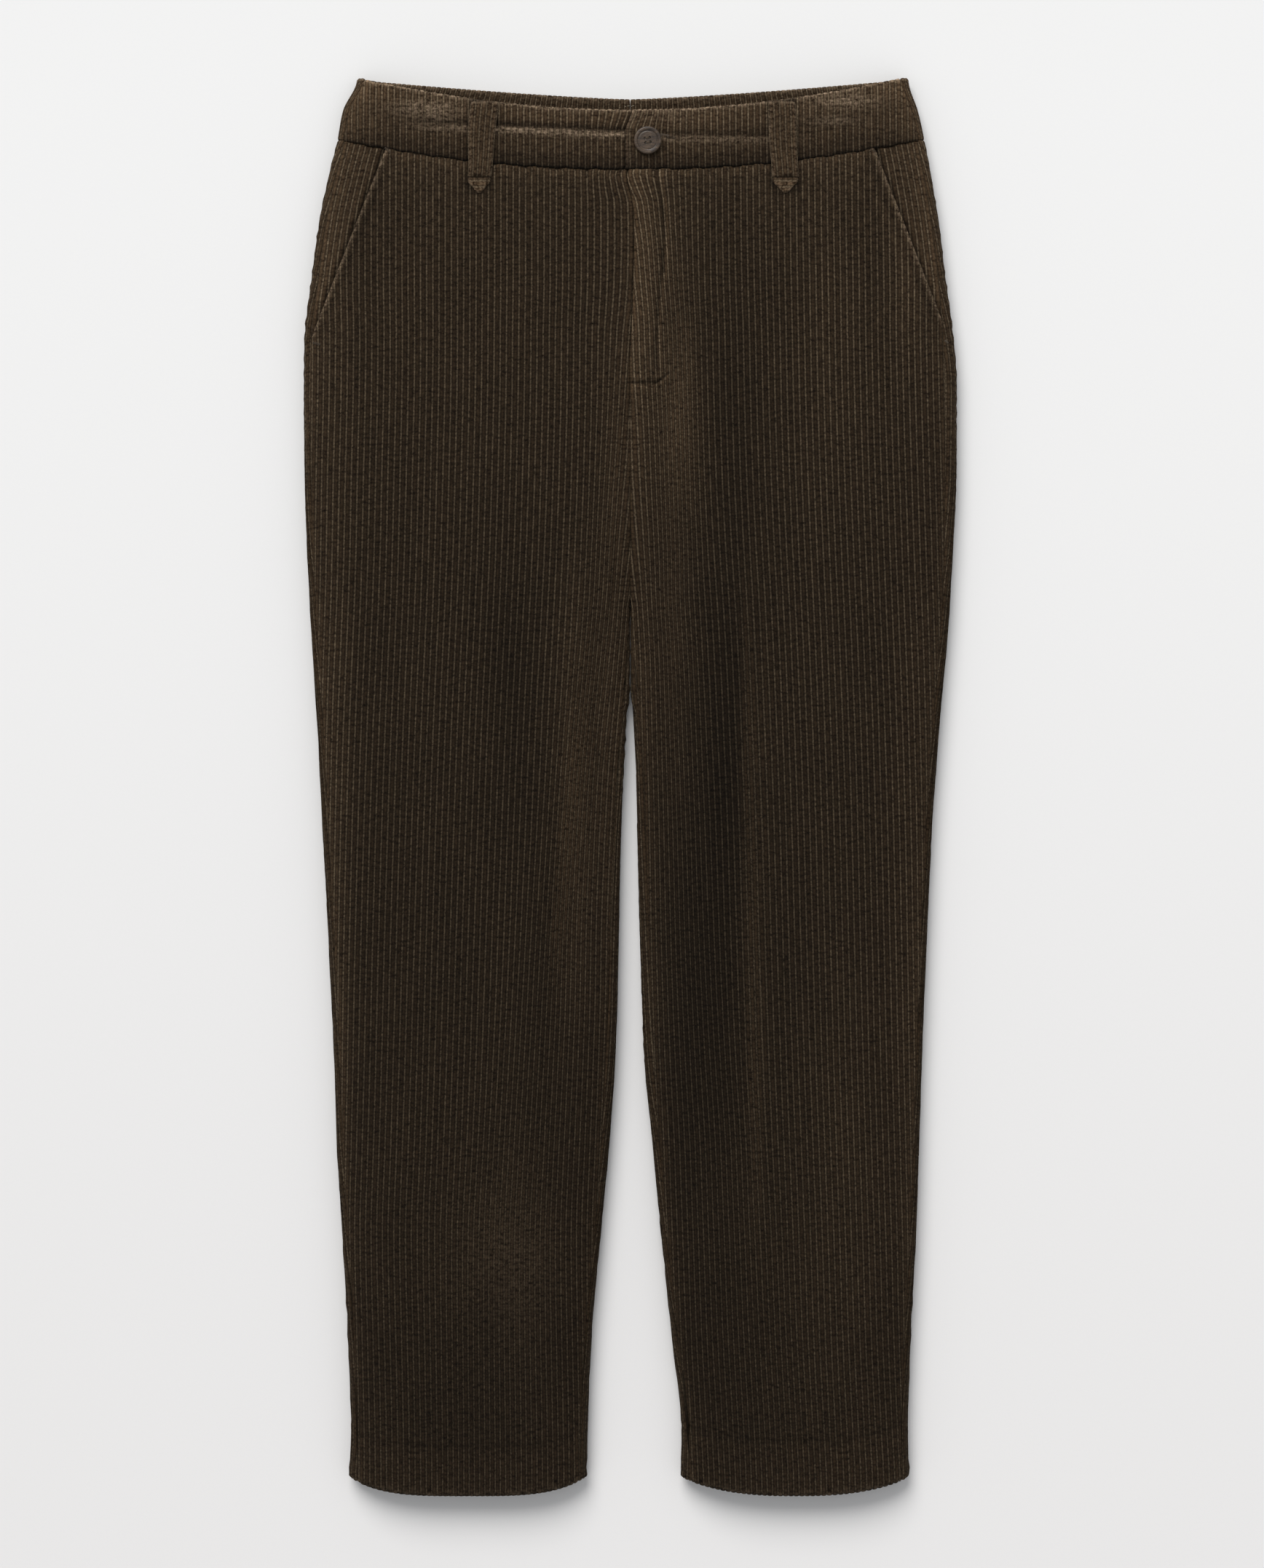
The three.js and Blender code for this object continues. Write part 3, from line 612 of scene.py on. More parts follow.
class Finish:
    """A material: its shader's own constants, and the nodes that lead to its other sockets."""

    def __init__(self, name, **constants):
        self.material = bpy.data.materials.new(name)
        self.material.use_nodes = True
        self.nodes, self.links = self.material.node_tree.nodes, self.material.node_tree.links
        self.shader = self.nodes["Principled BSDF"]
        for key, value in constants.items():
            self.shader.inputs[key.replace("_", " ")].default_value = value

    def add(self, kind, settings=None, values=None, output=0):
        """Any node: its settings first, then the values or links of its sockets."""
        node = self.nodes.new(kind)
        for key, value in (settings or {}).items():
            setattr(node, key, value)
        for key, value in (values or {}).items():
            self.join(node.inputs[key], value)
        return Value(self, node.outputs[output])

    def join(self, socket, value):
        if isinstance(value, Value):
            self.links.new(value.output, socket)
        else:
            socket.default_value = value

    def math(self, operation, *values):
        return self.add("ShaderNodeMath", {"operation": operation}, dict(enumerate(values)))

    def blend(self, share, a, b):
        """Colour a where share is 0 and b where it is 1."""
        values = {0: share, 6: a, 7: b}
        return self.add("ShaderNodeMix", {"data_type": "RGBA"}, values, output=2)

    def field(self, name):
        """A number that each point of the mesh keeps."""
        return self.add("ShaderNodeAttribute", {"attribute_name": name}, output=2)

    def noise(self, vector, scale, detail=2.0, roughness=0.5):
        values = {"Vector": vector, "Scale": scale, "Detail": detail, "Roughness": roughness}
        return self.add("ShaderNodeTexNoise", values=values)

    def scaled(self, colour, amount):
        """A colour made brighter or darker."""
        settings = {"operation": "SCALE"}
        return self.add("ShaderNodeVectorMath", settings, {0: colour, "Scale": amount})

    def vector(self, x, y, z=0.0):
        return self.add("ShaderNodeCombineXYZ", values={"X": x, "Y": y, "Z": z})

    def paint(self, colour):
        self.join(self.shader.inputs["Base Color"], colour)

    def bump(self, height, strength, distance):
        values = {"Height": height, "Strength": strength, "Distance": distance}
        self.join(self.shader.inputs["Normal"], self.add("ShaderNodeBump", values=values))


def srgb(red, green, blue):
    """A screen colour, 0 to 255, as the light that it stands for."""
    c = np.array([red, green, blue]) / 255
    linear = np.where(c <= 0.04045, c / 12.92, ((c + 0.055) / 1.055) ** 2.4)
    return (*linear, 1.0)


# %% [markdown]
# ## Corduroy
#
# Cotton corduroy is a plain ground weave with loops that are cut open and brushed into wales. Looked at
# from above, three bands repeat: a thin light line where the ground shows in the groove, with a painted
# highlight on it; a dark flank where you look into the pile, deepened by painted shade; and the softer,
# warmer top. Pile that lies over catches light, so the tops are mottled. Rubbed places are paler from
# wear, and slopes and edges are painted paler as a painted highlight. Sheen adds to that pale bloom.

# %% The corduroy finish
# The light line's colour is the ground's own with a painted highlight, the flank's is the pile's dark
# colour with painted shade, and BLOOM is the pale of rubbed pile and of painted highlights.
GROUND_AND_HIGHLIGHT = srgb(122, 106, 85)
FLANK = srgb(19, 11, 5)
TOP = srgb(62, 49, 35)
BLOOM = srgb(120, 104, 87)
INSIDE, INSIDE_DARK = srgb(84, 72, 58), srgb(60, 50, 40)


def corduroy(name, lift=1.0, mottle=1.0, line=1.0, flank=0.9):
    """The cloth's finish. lift makes it lighter, mottle makes its pile more uneven, line brightens the
    ground in the grooves with its painted highlight, and flank is how far the dark side of a wale
    reaches up."""
    f = Finish(
        name,
        Roughness=0.95,
        Specular_IOR_Level=0.1,
        Sheen_Weight=0.06,
        Sheen_Roughness=0.4,
        Sheen_Tint=srgb(188, 166, 134),
    )
    uv = f.add("ShaderNodeUVMap", {"uv_map": "cloth"})
    u, v = (f.add("ShaderNodeSeparateXYZ", values={"Vector": uv}, output=i) for i in (0, 1))
    squeeze, wear_and_highlight, tone, face = (f.field(n) for n in ("squeeze", "wear_and_highlight", "tone", "face"))
    wander = f.noise(f.vector(u * 0.8, v * 2.2), 1.0, 2.0)
    phase = u + (wander - 0.5) * (0.09 + squeeze * 0.22)
    depth = 1 - ((phase - phase.math("FLOOR")) * 2 - 1).math("ABSOLUTE")
    blocks = f.noise(f.vector(u * 0.5, v * 1.25), 1.5, 1.0, 0.4) - 0.5
    tufts = f.noise(f.vector(u * 1.3, v * 1.2), 2.4, 2.0, 0.45) - 0.5
    beads = f.noise(f.vector(phase.math("FLOOR") * 7.3, v * 2.1), 1.0, 1.0, 0.4) - 0.5
    fuzz = f.noise(f.vector(u, v), 11.0, 2.0, 0.6) - 0.5
    drift = f.noise(f.vector(u * 0.11, v * 0.07), 1.0, 3.0, 0.55) - 0.5
    lumps = beads * (0.6 + squeeze * 1.3)
    patchy = (blocks * 1.3 + tufts * 1.5 + lumps) * mottle + fuzz * 1.1
    groove = 1 - depth.step(-0.02, 0.46)
    top = depth.step(0.14, flank)
    # Rubbed places are paler from wear, and edges that catch the light get the same pale colour as a
    # painted highlight.
    rubbed_and_lit = wear_and_highlight * (0.5 + patchy * 0.7).step(0.2, 0.95) * depth.step(0.12, 0.6)
    colour = f.blend(top * (0.56 + patchy + squeeze * 0.2), FLANK, TOP)
    colour = f.blend(rubbed_and_lit * 0.85, colour, BLOOM)
    # The light line in the grooves: the ground's colour with a painted highlight.
    lit = (0.57 + fuzz * 1.6 + blocks * 1.0 + tufts * 1.6) * line * (1 - squeeze * 0.3)
    colour = f.blend(groove * lit, colour, GROUND_AND_HIGHLIGHT)
    weave = f.noise(f.vector(u * 6.0, v * 2.0), 3.0, 2.0)
    plain = f.blend(weave, INSIDE, INSIDE_DARK)
    colour = f.blend(face, plain, colour)
    # Where the wales lie close on folds and slopes, squeeze makes the pile lighter: a painted sheen.
    # drift is a random tone.
    shade = tone * lift * (1 + drift * 0.4 + squeeze * 0.35)
    f.paint(f.scaled(colour, shade))
    f.bump(tufts * 0.7 + fuzz * 0.5 + lumps * 0.8, 0.6, 0.0007)
    return f.material


PANEL_CLOTH = corduroy("panel corduroy")
BAND_CLOTH_FINISH = corduroy("band corduroy", lift=1.08, line=0.8, flank=0.95)
POCKET_CLOTH = corduroy("pocket corduroy", lift=1.05, line=0.8)
LOOP_CLOTH = corduroy("loop corduroy", lift=1.2, mottle=1.3, line=0.75, flank=0.85)
print("corduroy finishes:", [m.name for m in bpy.data.materials if "corduroy" in m.name])

# %% [markdown]
# ## Where the edges are cut
#
# The waist seam, the band's upper edge and the hem are curves over the distance from the centre line.
# The pocket's mouth is a straight slant. The button pulls the middle of the front a little sideways.

# %% Cutting lines
SLANT_TOP, SLANT_D, SLANT_RUN = 445.0, 165.5, 54.8 / 138
SLANT_FACING = 0.93  # from a distance across to a distance off the slanting edge
HEM_DEPTHS, HEM_POWERS = {RIGHT: 34.0, LEFT: 38.0}, {RIGHT: 3.6, LEFT: 2.5}
FAR = 999.0  # where no pocket cuts the front
HOLD = 1.3  # columns that have crossed a seam by less than this are held on it
SHORTEST = 3.0  # no column is made where less cloth than this is left


def front_seam(d):
    drawn = 0.3 * np.sin(d / 3.3 + 1) + 0.25 * np.sin(d / 1.7)
    return 423.5 + 22 * (np.abs(d) / 203) ** 2.2 + drawn * smooth(np.abs(d) / 12)


def front_top(d):
    return 464.5 + 23.5 * (np.abs(d) / 190) ** 2


def back_top(d):
    return 474.5 + 13.5 * (np.abs(d) / 190) ** 1.3


def back_seam(d):
    return 432.5 + 13 * (np.abs(d) / 203) ** 1.3


def slant(y):
    return SLANT_D + (SLANT_TOP - y) * SLANT_RUN


def hem_line(side, d):
    """The hem hangs down between the folds: its drop times 1 less the share across to a power."""
    outer, inner = (SECTIONS[side][k][:, None] for k in ("outer", "inner"))
    across = (d - (outer + inner) / 2) / ((outer - inner) / 2)
    return HEM - HEM_DROP * (1 - np.clip(np.abs(across) ** HEM_POWERS[side], 0, 1))


LOOPS = table(
    "side top foot topWidth footWidth",
    [[RIGHT, 100.3, 103.6, 19.5, 16.5], [LEFT, 104.0, 106.4, 19.0, 18.5]],
)
# Wales across a loop, its thickness, its height over the band, and how much more in its middle.
LOOP_WALES, LOOP_WALL, LOOP_OFF, LOOP_BOW = 5, 1.2, 1.9, 1.9
LOOP_TOP, LOOP_FOOT, TAB_TOP, TAB_TIP = 470.0, 418.0, 419.5, 407.0


def beside_loop(side, d, y):
    """1, and less where a loop keeps the light off the pile beside it."""
    shade = np.ones(np.broadcast(d, y).shape)
    for row in rows_of(LOOPS, side):
        t = np.clip((LOOP_TOP - y) / (LOOP_TOP - LOOP_FOOT), 0, 1.2)
        width = mix(row["topWidth"], row["footWidth"], t)
        out = np.abs(d - mix(row["top"], row["foot"], t)) - width / 2
        shade -= 0.6 * falloff(out, 1.3) * smooth((y - TAB_TIP + 3) / 8)
    return shade


# How far the cloth is drawn sideways at the centre line, a height a row.
PULL = table(
    "y shift",
    [
        [488, 3.9], [465, 3.9], [449, -0.8], [426, -0.65], [420, -2.2], [408, 0.25],
        [401, 2.25], [377, 2.75], [352, 2.25], [328, 1.5], [304, 0.25], [280, -0.25], [240, 0],
    ],
)
PULL_REACH = 20.0


def pulled(x, y, z):
    return x + through(y, PULL["y"], PULL["shift"]) * bell(x / PULL_REACH)


def nestled(x, y, z):
    """Under the crotch the inner folds of the backs lie against each other, near the floor."""
    right, left = (through(y, OUTLINE["y"], OUTLINE[k]) for k in ("inRight", "inLeft"))
    gap = np.where(x < 0, right, left)
    close = bell((np.abs(x) - gap) / 12) * (1 - smooth((z - 8) / 9))
    close = close * smooth((y - 46) / 18) * (y < CROTCH + 12)
    return x - np.sign(x) * (gap - 0.1) * close


def unmoved(x, y, z):
    return x


# How light the panels are painted: a share for all panels, and one for each height of the leg.
PANEL_TONE = 0.79
# Darker down the leg; by the waist seam the panels are painted lighter, a painted highlight where the
# cloth puffs.
DOWN = table(
    "y tone",
    [
        [430, 1.15], [400, 0.95], [350, 0.88], [300, 0.85], [250, 0.81], [200, 0.76], [150, 0.71],
        [50, 0.7], [-10, 0.64], [-110, 0.6], [-310, 0.55], [-410, 0.49], [-470, 0.51],
    ],
)


def down_leg(tone, y):
    """A tone times the panels' share and the share at each height."""
    return PANEL_TONE * tone * through(y, DOWN["y"], DOWN["tone"])


# Rubbed places on the bands and on one leg: centre and half sizes.
WORN = table(
    "x y halfWidth halfHeight strength",
    [
        [-141, 466, 20, 5, 0.95],
        [-133, 459, 14, 4, 0.7],
        [148, 471, 19, 5, 0.95],
        [140, 457, 15, 3, 0.7],
        [22, 460, 16, 5, 0.2],
        [-92, -325, 32, 52, 0.1],
        [-75, -345, 16, 34, 0.1],
    ],
)


def ellipse(x, y, middle_x, middle_y, half_width, half_height):
    """A soft ellipse: 1 in its middle and near 0 at twice its half sizes."""
    return bell(np.hypot((x - middle_x) / half_width, (y - middle_y) / half_height))


def rubbed_at(x, y):
    """The sum of the rubbed places at each point."""
    total = np.zeros(np.broadcast(x, y).shape)
    for *place, strength in zip(*WORN.values()):
        total += strength * ellipse(x, y, *place)
    return total


# %% [markdown]
# ## Cutting and sewing a piece
#
# One function sews every panel. It is given the columns, the lines that cut them, and a function that
# says how far the face and the back stand off at each point. It works out where each column starts and
# ends, lays rows between, and hands two grids to the wall.


# %% The sewing function
def dress(made, node, slot, rests_on, width, length, area):
    """Hides the solid that a piece replaces. Its slot and the flat size that it was cut to are not
    used.
    """
    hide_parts(node)
    width * MM
    length * MM
    area * MM * MM
    return made


def sew(
    name, node, side, phase, arcs, edges, relief, material, spacing, slot, rests_on=(), shift=0,
    scallops=(0, 0), place=unmoved, meets=True, every=(4, 6), both=False,
):
    """A panel from its columns. edges(lie) gives each cutting line's distance, above 0 inside, and
    relief(c) the face, the back and the fields. spacing says how heights lays the rows, and scallops
    how far a wale's ends stand out. shift takes another part of the cloth, place draws the panel
    sideways, and one that meets the other side's is brought up to the centre line."""
    lie = lay(side, arcs)
    lines = {k: np.broadcast_to(v, arcs.shape) for k, v in edges(lie).items()}
    inside = np.minimum.reduce(list(lines.values()))
    top, bottom, found = span(inside)
    kept = found & (top - bottom > SHORTEST)
    flat = cut_size(inside[:, kept], arcs[:, kept])
    lie, lines = ({k: v[:, kept] for k, v in grids.items()} for grids in (lie, lines))
    phase, top, bottom = phase[kept], top[kept], bottom[kept]
    ends = top + scallops[0] * scallop(phase), bottom - scallops[1] * scallop(phase)
    y = heights(*ends, *spacing)
    c = {"y": y, "side": side, "phase": np.broadcast_to(phase, y.shape)}
    c |= {k: at_heights(v, y) for k, v in lie.items()}
    c |= {"to_" + k: at_heights(v, y) for k, v in lines.items()}
    c["x"] = side * c["d"]
    face, back, fields = relief(c)
    grids = []
    for off in (face, back):
        d, z = c["d"] + c["nd"] * off, c["z"] + c["nz"] * off
        if meets:
            d = brought_together(side, d, y)
        grids.append(stacked(place(side * d, y, z), y, z))
    uv = stacked(c["phase"], y / WALE) + shift
    made = wall(name, *grids, uv, material, fields, every, both)
    return dress(made, node, slot, list(rests_on), *flat)


def cut_size(inside, arcs):
    """The cut piece before it was sewn: its greatest width, its length and its area."""
    across = ((inside >= 0) * np.abs(np.gradient(arcs, axis=1))).sum(1)
    return across.max(), (across > 0).sum() * ROW_STEP, across.sum() * ROW_STEP


def held(arcs, seam, way):
    """Columns that have just crossed a seam are held on it, so no gap opens where a seam runs almost
    along the wales. way is 1 where the piece is on the far side of the seam, and -1 on the near one."""
    over = way * (seam - arcs)
    return np.where((over > 0) & (over < HOLD), seam + way * 0.02 * (HOLD - over), arcs)


def brought_together(side, d, y):
    """Above the crotch the section lines stop a little short of the centre line, and the thread draws
    the two edges together there."""
    short = np.interp(y, ROWS, SECTIONS[side]["inner"]) - SEWN / 2
    closer = np.maximum(d - short * bell((d - short) / 4), SEWN / 2)
    return mix(d, closer, smooth((y - CROTCH + 4) / 8))


def waves(phase, y, seed, long, wide=1.0):
    """Soft uneven waves: a sum of four sines whose lengths and starts come from a seeded draw."""
    draw = np.random.default_rng(seed)
    total = 0.0
    for _ in range(4):
        stretch, lean, start = draw.uniform(0.6, 1.7), draw.uniform(-1, 1), draw.uniform(0, 7)
        total = total + np.sin(y / (long * stretch) + phase * lean / wide + start)
    return total / 4


print("cutting lines at the centre:", front_seam(0), front_top(0), back_top(0), back_seam(0))

# %% [markdown]
# ## The backs
#
# The backs come first, because everything lies on them. They go round the side folds and the inner
# folds of the legs up to the seams on the front, and their wales are pressed flat underneath.


# %% Backs
def lying(c):
    """1 where the cloth lies on the floor with its wales pressed flat, and 0 well above it."""
    return 1 - np.clip((c["z"] - 0.5) / 3, 0, 1)


def off_edges(c, names):
    """How far each point is inside the named cutting lines."""
    return (c["to_" + name] for name in names.split())


def turning(c):
    """0 where the cloth is level, and 1 where it goes steeply round a fold."""
    return smooth((0.985 - c["nz"]) / 0.45)


def back(side, word):
    """Its columns are counted from the middle of the floor, and its seams lie on the front."""
    lines = side_lines(side)
    phase = wales(-33, 33)
    middle = (lines["floorStart"] + lines["floorEnd"]) / 2
    inseam = lines["length"] + lines["inseam"] - SEWN / 2
    arcs = held(middle + phase * WALE * lines["draw"], lines["outseam"] + SEWN / 2, 1)
    arcs = held(arcs, inseam, -1)
    y = ROWS[:, None]

    def edges(lie):
        return {
            "waist": back_seam(lie["d"]) - SEWN / 2 - y,
            "hem": y - hem_line(side, lie["d"]),
            "outer": arcs - lines["outseam"] - SEWN / 2,
            "inner": inseam - arcs,
        }

    def relief(c):
        y, seam = c["y"], np.minimum(c["to_outer"], c["to_inner"])
        on_floor, steep = lying(c), turning(c)
        face = PILE * (pile(c["phase"]) - on_floor)
        face = face + roll(seam, 1.5, 0.8) + roll(c["to_waist"], 2.0, 1.0)
        face = face + roll(c["to_hem"], 1.2, 1.6)
        face = face + 0.5 * waves(c["phase"], y, 43, 1.3, 0.5) * steep * (1 - on_floor)
        wall_off = np.where(c["to_hem"] < HEM_DEPTHS[side], HEM_CLOTH, CLOTH) + PILE * on_floor
        # Painted light: the pile is lighter near the seams and where the cloth turns round a fold, and
        # the hem's fold gets a painted highlight.
        near = np.maximum(falloff(seam, 9), 0.7 * steep) * (1 - on_floor)
        tone = down_leg(1 + 0.3 * near, y)
        return face, -wall_off, {"squeeze": near, "tone": tone, "wear_and_highlight": 1.2 * np.exp(-c["to_hem"])}

    spacing = [0, 0.5, 1.1, 2, 3.5, 6, 10], [0, 0.4, 0.9, 1.8, 3.5, 7, 13, 20, 27, 32, 36, 40], 118
    return sew(
        f"back_panel_{word}", f"back_{word}", side, phase, arcs, edges, relief, PANEL_CLOTH,
        spacing, "panel_cloth", scallops=(0, 0.8), shift=40, place=nestled,
    )


BACKS = {side: back(side, word) for side, word in SIDES}

# %% [markdown]
# ## The fronts
#
# A front's wales run straight down from the waist, and the seams cut them off one after another. The
# left front carries the fly: a flap with a round foot, held by a J of stitches. The hem is turned up
# inside and caught with stitches that only show as a soft dark line.

# %% Fronts
# Near the centre seam the wales fan out on their way down: the seam is cut on a slant, so wales come
# out from under it and push the next ones closer. push is how far, and reach how wide.
FAN = table(
    "y pushRight reachRight pushLeft reachLeft",
    [
        [430, 0, 28, 0, 50], [400, 0, 28, 3, 50], [360, 0, 28, 8, 52], [310, 0.5, 28, 12, 55],
        [250, 4, 30, 14, 56], [180, 8, 34, 14.5, 56], [120, 10.5, 42, 14.5, 56], [30, 13, 60, 13.5, 58],
        [-110, 14, 85, 11, 66], [-250, 12, 110, 9, 90], [-480, 9, 130, 7, 110],
    ],
)


def fan(side, arcs):
    """Each column's arc, moved outwards by the push near the seam and not at all beyond the reach."""
    name = "Right" if side == RIGHT else "Left"
    push, reach = (through(ROWS, FAN["y"], FAN[k + name])[:, None] for k in ("push", "reach"))
    return arcs + push * (1 - smooth((arcs + 10) / (reach + 10)))


FLY_WIDTH, FLY_FOOT, FLY_RISE, FLY_RADIUS = 21.0, 275.0, 1.3, 9.0
# The stitched line of the fly: down from the waist, and across at its foot.
FOOT_LINE, JAY_DEPTH = 276.6, 1.3
JAY = table(
    "y d",
    [[424, 19], [413, 19.7], [386, 22.4], [355, 22], [340, 19.2], [299, 17.8], [283, 19]],
)


def fly_reach(y):
    """How wide the flap is at each height: straight, with a quarter circle at its foot."""
    low = np.clip(FLY_FOOT + FLY_RADIUS - y, 0, None)
    round_foot = FLY_WIDTH - FLY_RADIUS + np.sqrt(np.clip(FLY_RADIUS**2 - low**2, 0, None))
    return np.where(low > FLY_RADIUS, 0, round_foot)


def with_fly(face, d, y):
    """The face with the fly's flap and its stitched line. Also how near each point is to that line
    and to the lips beside it, 0 to 1."""
    reach = fly_reach(y)
    over_foot = smooth((y - FLY_FOOT) / 4)
    face = face + FLY_RISE * smooth((reach - d) / 3 + 0.5)
    face = face + 0.9 * bell((d - 0.5 * reach) / 6.5) * over_foot
    face = face + 0.9 * bell((d - reach - 4.5) / 4) * smooth((y - FLY_FOOT + 25) / 25)
    off_jay = d - through(y, JAY["y"], JAY["d"])
    off_foot = y - FOOT_LINE - 7 * smooth((d - 17) / 12)
    upright, across = smooth((y - 279) / 6), (d < 27)
    jay = np.maximum(bell(off_jay / 1.2) * upright, bell(off_foot / 1.1) * across)
    jay = jay * (0.75 + 0.25 * waves(d, y, 31, 1.2))
    lips = bell((off_jay - 2.4) / 1.2) * upright + bell((off_foot + 2.4) / 1.3) * across
    return face - JAY_DEPTH * jay, jay, lips


def front(side, word):
    """Its columns are counted from one straight wale, and fan out near the centre seam."""
    lines = side_lines(side)
    phase = wales(-38, 31)
    arcs = fan(side, lines["wale"] + phase * WALE * lines["draw"])
    arcs = held(arcs, lines["inseam"] + SEWN / 2, 1)
    arcs = held(arcs, lines["outseam"] - SEWN / 2, -1)
    y = ROWS[:, None]

    def edges(lie):
        pocket = (slant(y) - SEWN / 2 - lie["d"]) * SLANT_FACING
        return {
            "waist": front_seam(lie["d"]) - SEWN / 2 - y,
            "hem": y - hem_line(side, lie["d"]),
            "inner": arcs - lines["inseam"] - SEWN / 2,
            "outer": lines["outseam"] - SEWN / 2 - arcs,
            "pocket": np.where(y > POCKET_FOOT, pocket, FAR),
        }

    def relief(c):
        d, y, count = c["d"], c["y"], c["phase"]
        waist, hem, inner, outer, pocket = off_edges(c, "waist hem inner outer pocket")
        face = PILE * pile(count) * (1 + 0.1 * waves(count, y, 3, 9))
        face = face + 0.35 * bell((waist - 4.5) / 3) + roll(waist, 3.0, 0.6)
        face = face + roll(inner, 1.8, 1.1) * c["nz"] ** 2 + roll(outer, 1.6, 0.8)
        face = face + 0.5 * bell((pocket - 2.5) / 2.2) + roll(pocket, 1.6, 1.5)
        face = face + roll(hem, 1.2, 1.7)
        stitched = bell((hem - HEM_DEPTHS[side]) / 1.1)
        face = face - 0.4 * stitched * (0.7 + 0.3 * np.cos(2 * np.pi * count / 1.4))
        jay = lips = 0 * y
        if side == LEFT:
            face, jay, lips = with_fly(face, d, y)
        steep = turning(c)
        face = face + 0.45 * steep * waves(count, y, 41, 1.3, 0.5)
        wall_off = np.where(hem < HEM_DEPTHS[side], HEM_CLOTH, CLOTH)
        near, puffed = falloff(np.minimum(inner, outer), 5), falloff(waist, 4)
        mouth = bell((pocket - 1.1) / 1.3) * (0.7 + 0.5 * waves(count, y, 17, 0.7, 0.4))
        tucked = bell((pocket - 6) / 2.2)
        turned = smooth((HEM_DEPTHS[side] - 2 - hem) / 4)
        # Painted light near the side and inner seams and a little below the waist seam, and painted
        # shade right at the waist seam.
        by_seams = 1 + 0.18 * near + 0.15 * bell((waist - 4) / 3) - 0.3 * np.exp(-waist / 1.3)
        # Painted shade in the hem's stitch line, in the J's valley and a little in from the pocket's
        # edge; painted highlight on the lips beside the J, on the pocket's edge, on steep folds and on
        # the turned-up hem.
        lit = 1 - 0.25 * stitched - 0.5 * jay + 0.6 * lips + 0.45 * mouth - 0.2 * tucked
        lit = lit + 0.35 * steep + 0.12 * turned
        fields = {
            "squeeze": np.maximum.reduce([near, puffed, 0.7 * steep, closeness(side, d, y)]),
            # Real rubbed places, with a painted highlight on the pocket's edge and on the hem's fold.
            "wear_and_highlight": np.clip(rubbed_at(c["x"], y) + (mouth + 1.4 * falloff(hem, 1.1)), 0, 1.2),
            "tone": tone_at(side, d, y) * by_seams * lit * beside_loop(side, d, y),
        }
        return face, -wall_off, fields

    hem_rows = [0, 0.4, 0.9, 1.7, 3, 6, 11, 17, 23, 28, 31, 33, 34, 35, 36, 37, 38, 39, 40.5, 43, 47]
    waist_rows = [0, 0.5, 1.1, 2, 3.2, 5, 7.5, 11, 16]
    foot_rows = (29, [*(FOOT_LINE + 10 - 0.8 * np.arange(20))]) if side == LEFT else None
    return sew(
        f"front_panel_{word}", f"front_{word}", side, phase, arcs, edges, relief, PANEL_CLOTH,
        (waist_rows, hem_rows, 190, foot_rows), "panel_cloth", [BACKS[side].name],
        scallops=(0.15, 0.9), place=pulled,
    )


def slope_share(side, d, y):
    """How steep the folds are, 0 to 1, from a small step across them."""
    step = 1.0
    lean = (fold_rise(side, d + step, y) - fold_rise(side, d - step, y)) / (2 * step)
    return smooth((np.abs(lean) - 0.08) / 0.45)


# Zones of painted light and shade: a positive gain paints light where the cloth lies over a slope, a
# negative one paints shade. Each adds its gain to 1.
PAINTED_LIGHT_ZONES = table(
    "side d y halfWidth halfHeight gain",
    [
        [RIGHT, 208, 395, 13, 75, 0.45],
        [RIGHT, 206, 150, 13, 200, 0.2],
        [RIGHT, 201, -130, 10, 260, 0.4],
        [RIGHT, 14, 130, 12, 150, 0.3],
        [RIGHT, 40, -20, 13, 120, 0.4],
        [RIGHT, 80, 70, 22, 90, -0.28],
        [RIGHT, 120, -420, 34, 60, -0.15],
        [RIGHT, 90, -310, 34, 45, 0.1],
        [RIGHT, 60, -200, 16, 110, -0.05],
        [LEFT, 7, 350, 12, 95, 0.7],
        [LEFT, 26, 370, 7, 40, 0.25],
        [LEFT, 10, 200, 10, 90, 0.25],
        [LEFT, 34, 245, 14, 60, 0.45],
        [LEFT, 72, 240, 26, 150, -0.25],
        [LEFT, 66, 30, 20, 110, -0.35],
        [LEFT, 58, -160, 22, 160, -0.3],
        [LEFT, 36, -170, 14, 150, -0.22],
        [LEFT, 138, 280, 18, 110, 0.18],
        [LEFT, 190, 370, 14, 70, 0.5],
        [LEFT, 200, 40, 12, 220, 0.15],
        [LEFT, 190, -150, 12, 200, 0.4],
        [LEFT, 150, -260, 26, 190, 0.28],
        [LEFT, 60, -400, 26, 90, -0.12],
    ],
)


# Zones where the wales lie close and stand up like beads, and where a painted sheen makes the pile
# lighter.
CLOSE = table(
    "side d y halfWidth halfHeight share",
    [
        [RIGHT, 9, 190, 8, 110, 0.6],
        [RIGHT, 34, 0, 13, 130, 0.8],
        [RIGHT, 5, -20, 5, 130, 0.6],
        [LEFT, 8, 345, 12, 70, 0.35],
        [LEFT, 33, 260, 13, 100, 0.8],
        [LEFT, 10, 60, 7, 120, 0.5],
        [LEFT, 88, -100, 8, 260, 0.5],
        [LEFT, 30, 120, 8, 110, 0.5],
        [RIGHT, 130, -430, 130, 250, 0.4],
        [LEFT, 130, -430, 130, 250, 0.4],
        [RIGHT, 80, -320, 36, 75, 0.75],
    ],
)


def closeness(side, d, y):
    """The strongest of the close zones at each point."""
    share = slope_share(side, d, y)
    for _, *place, strength in rows_on(CLOSE, side):
        share = np.maximum(share, strength * ellipse(d, y, *place))
    return share


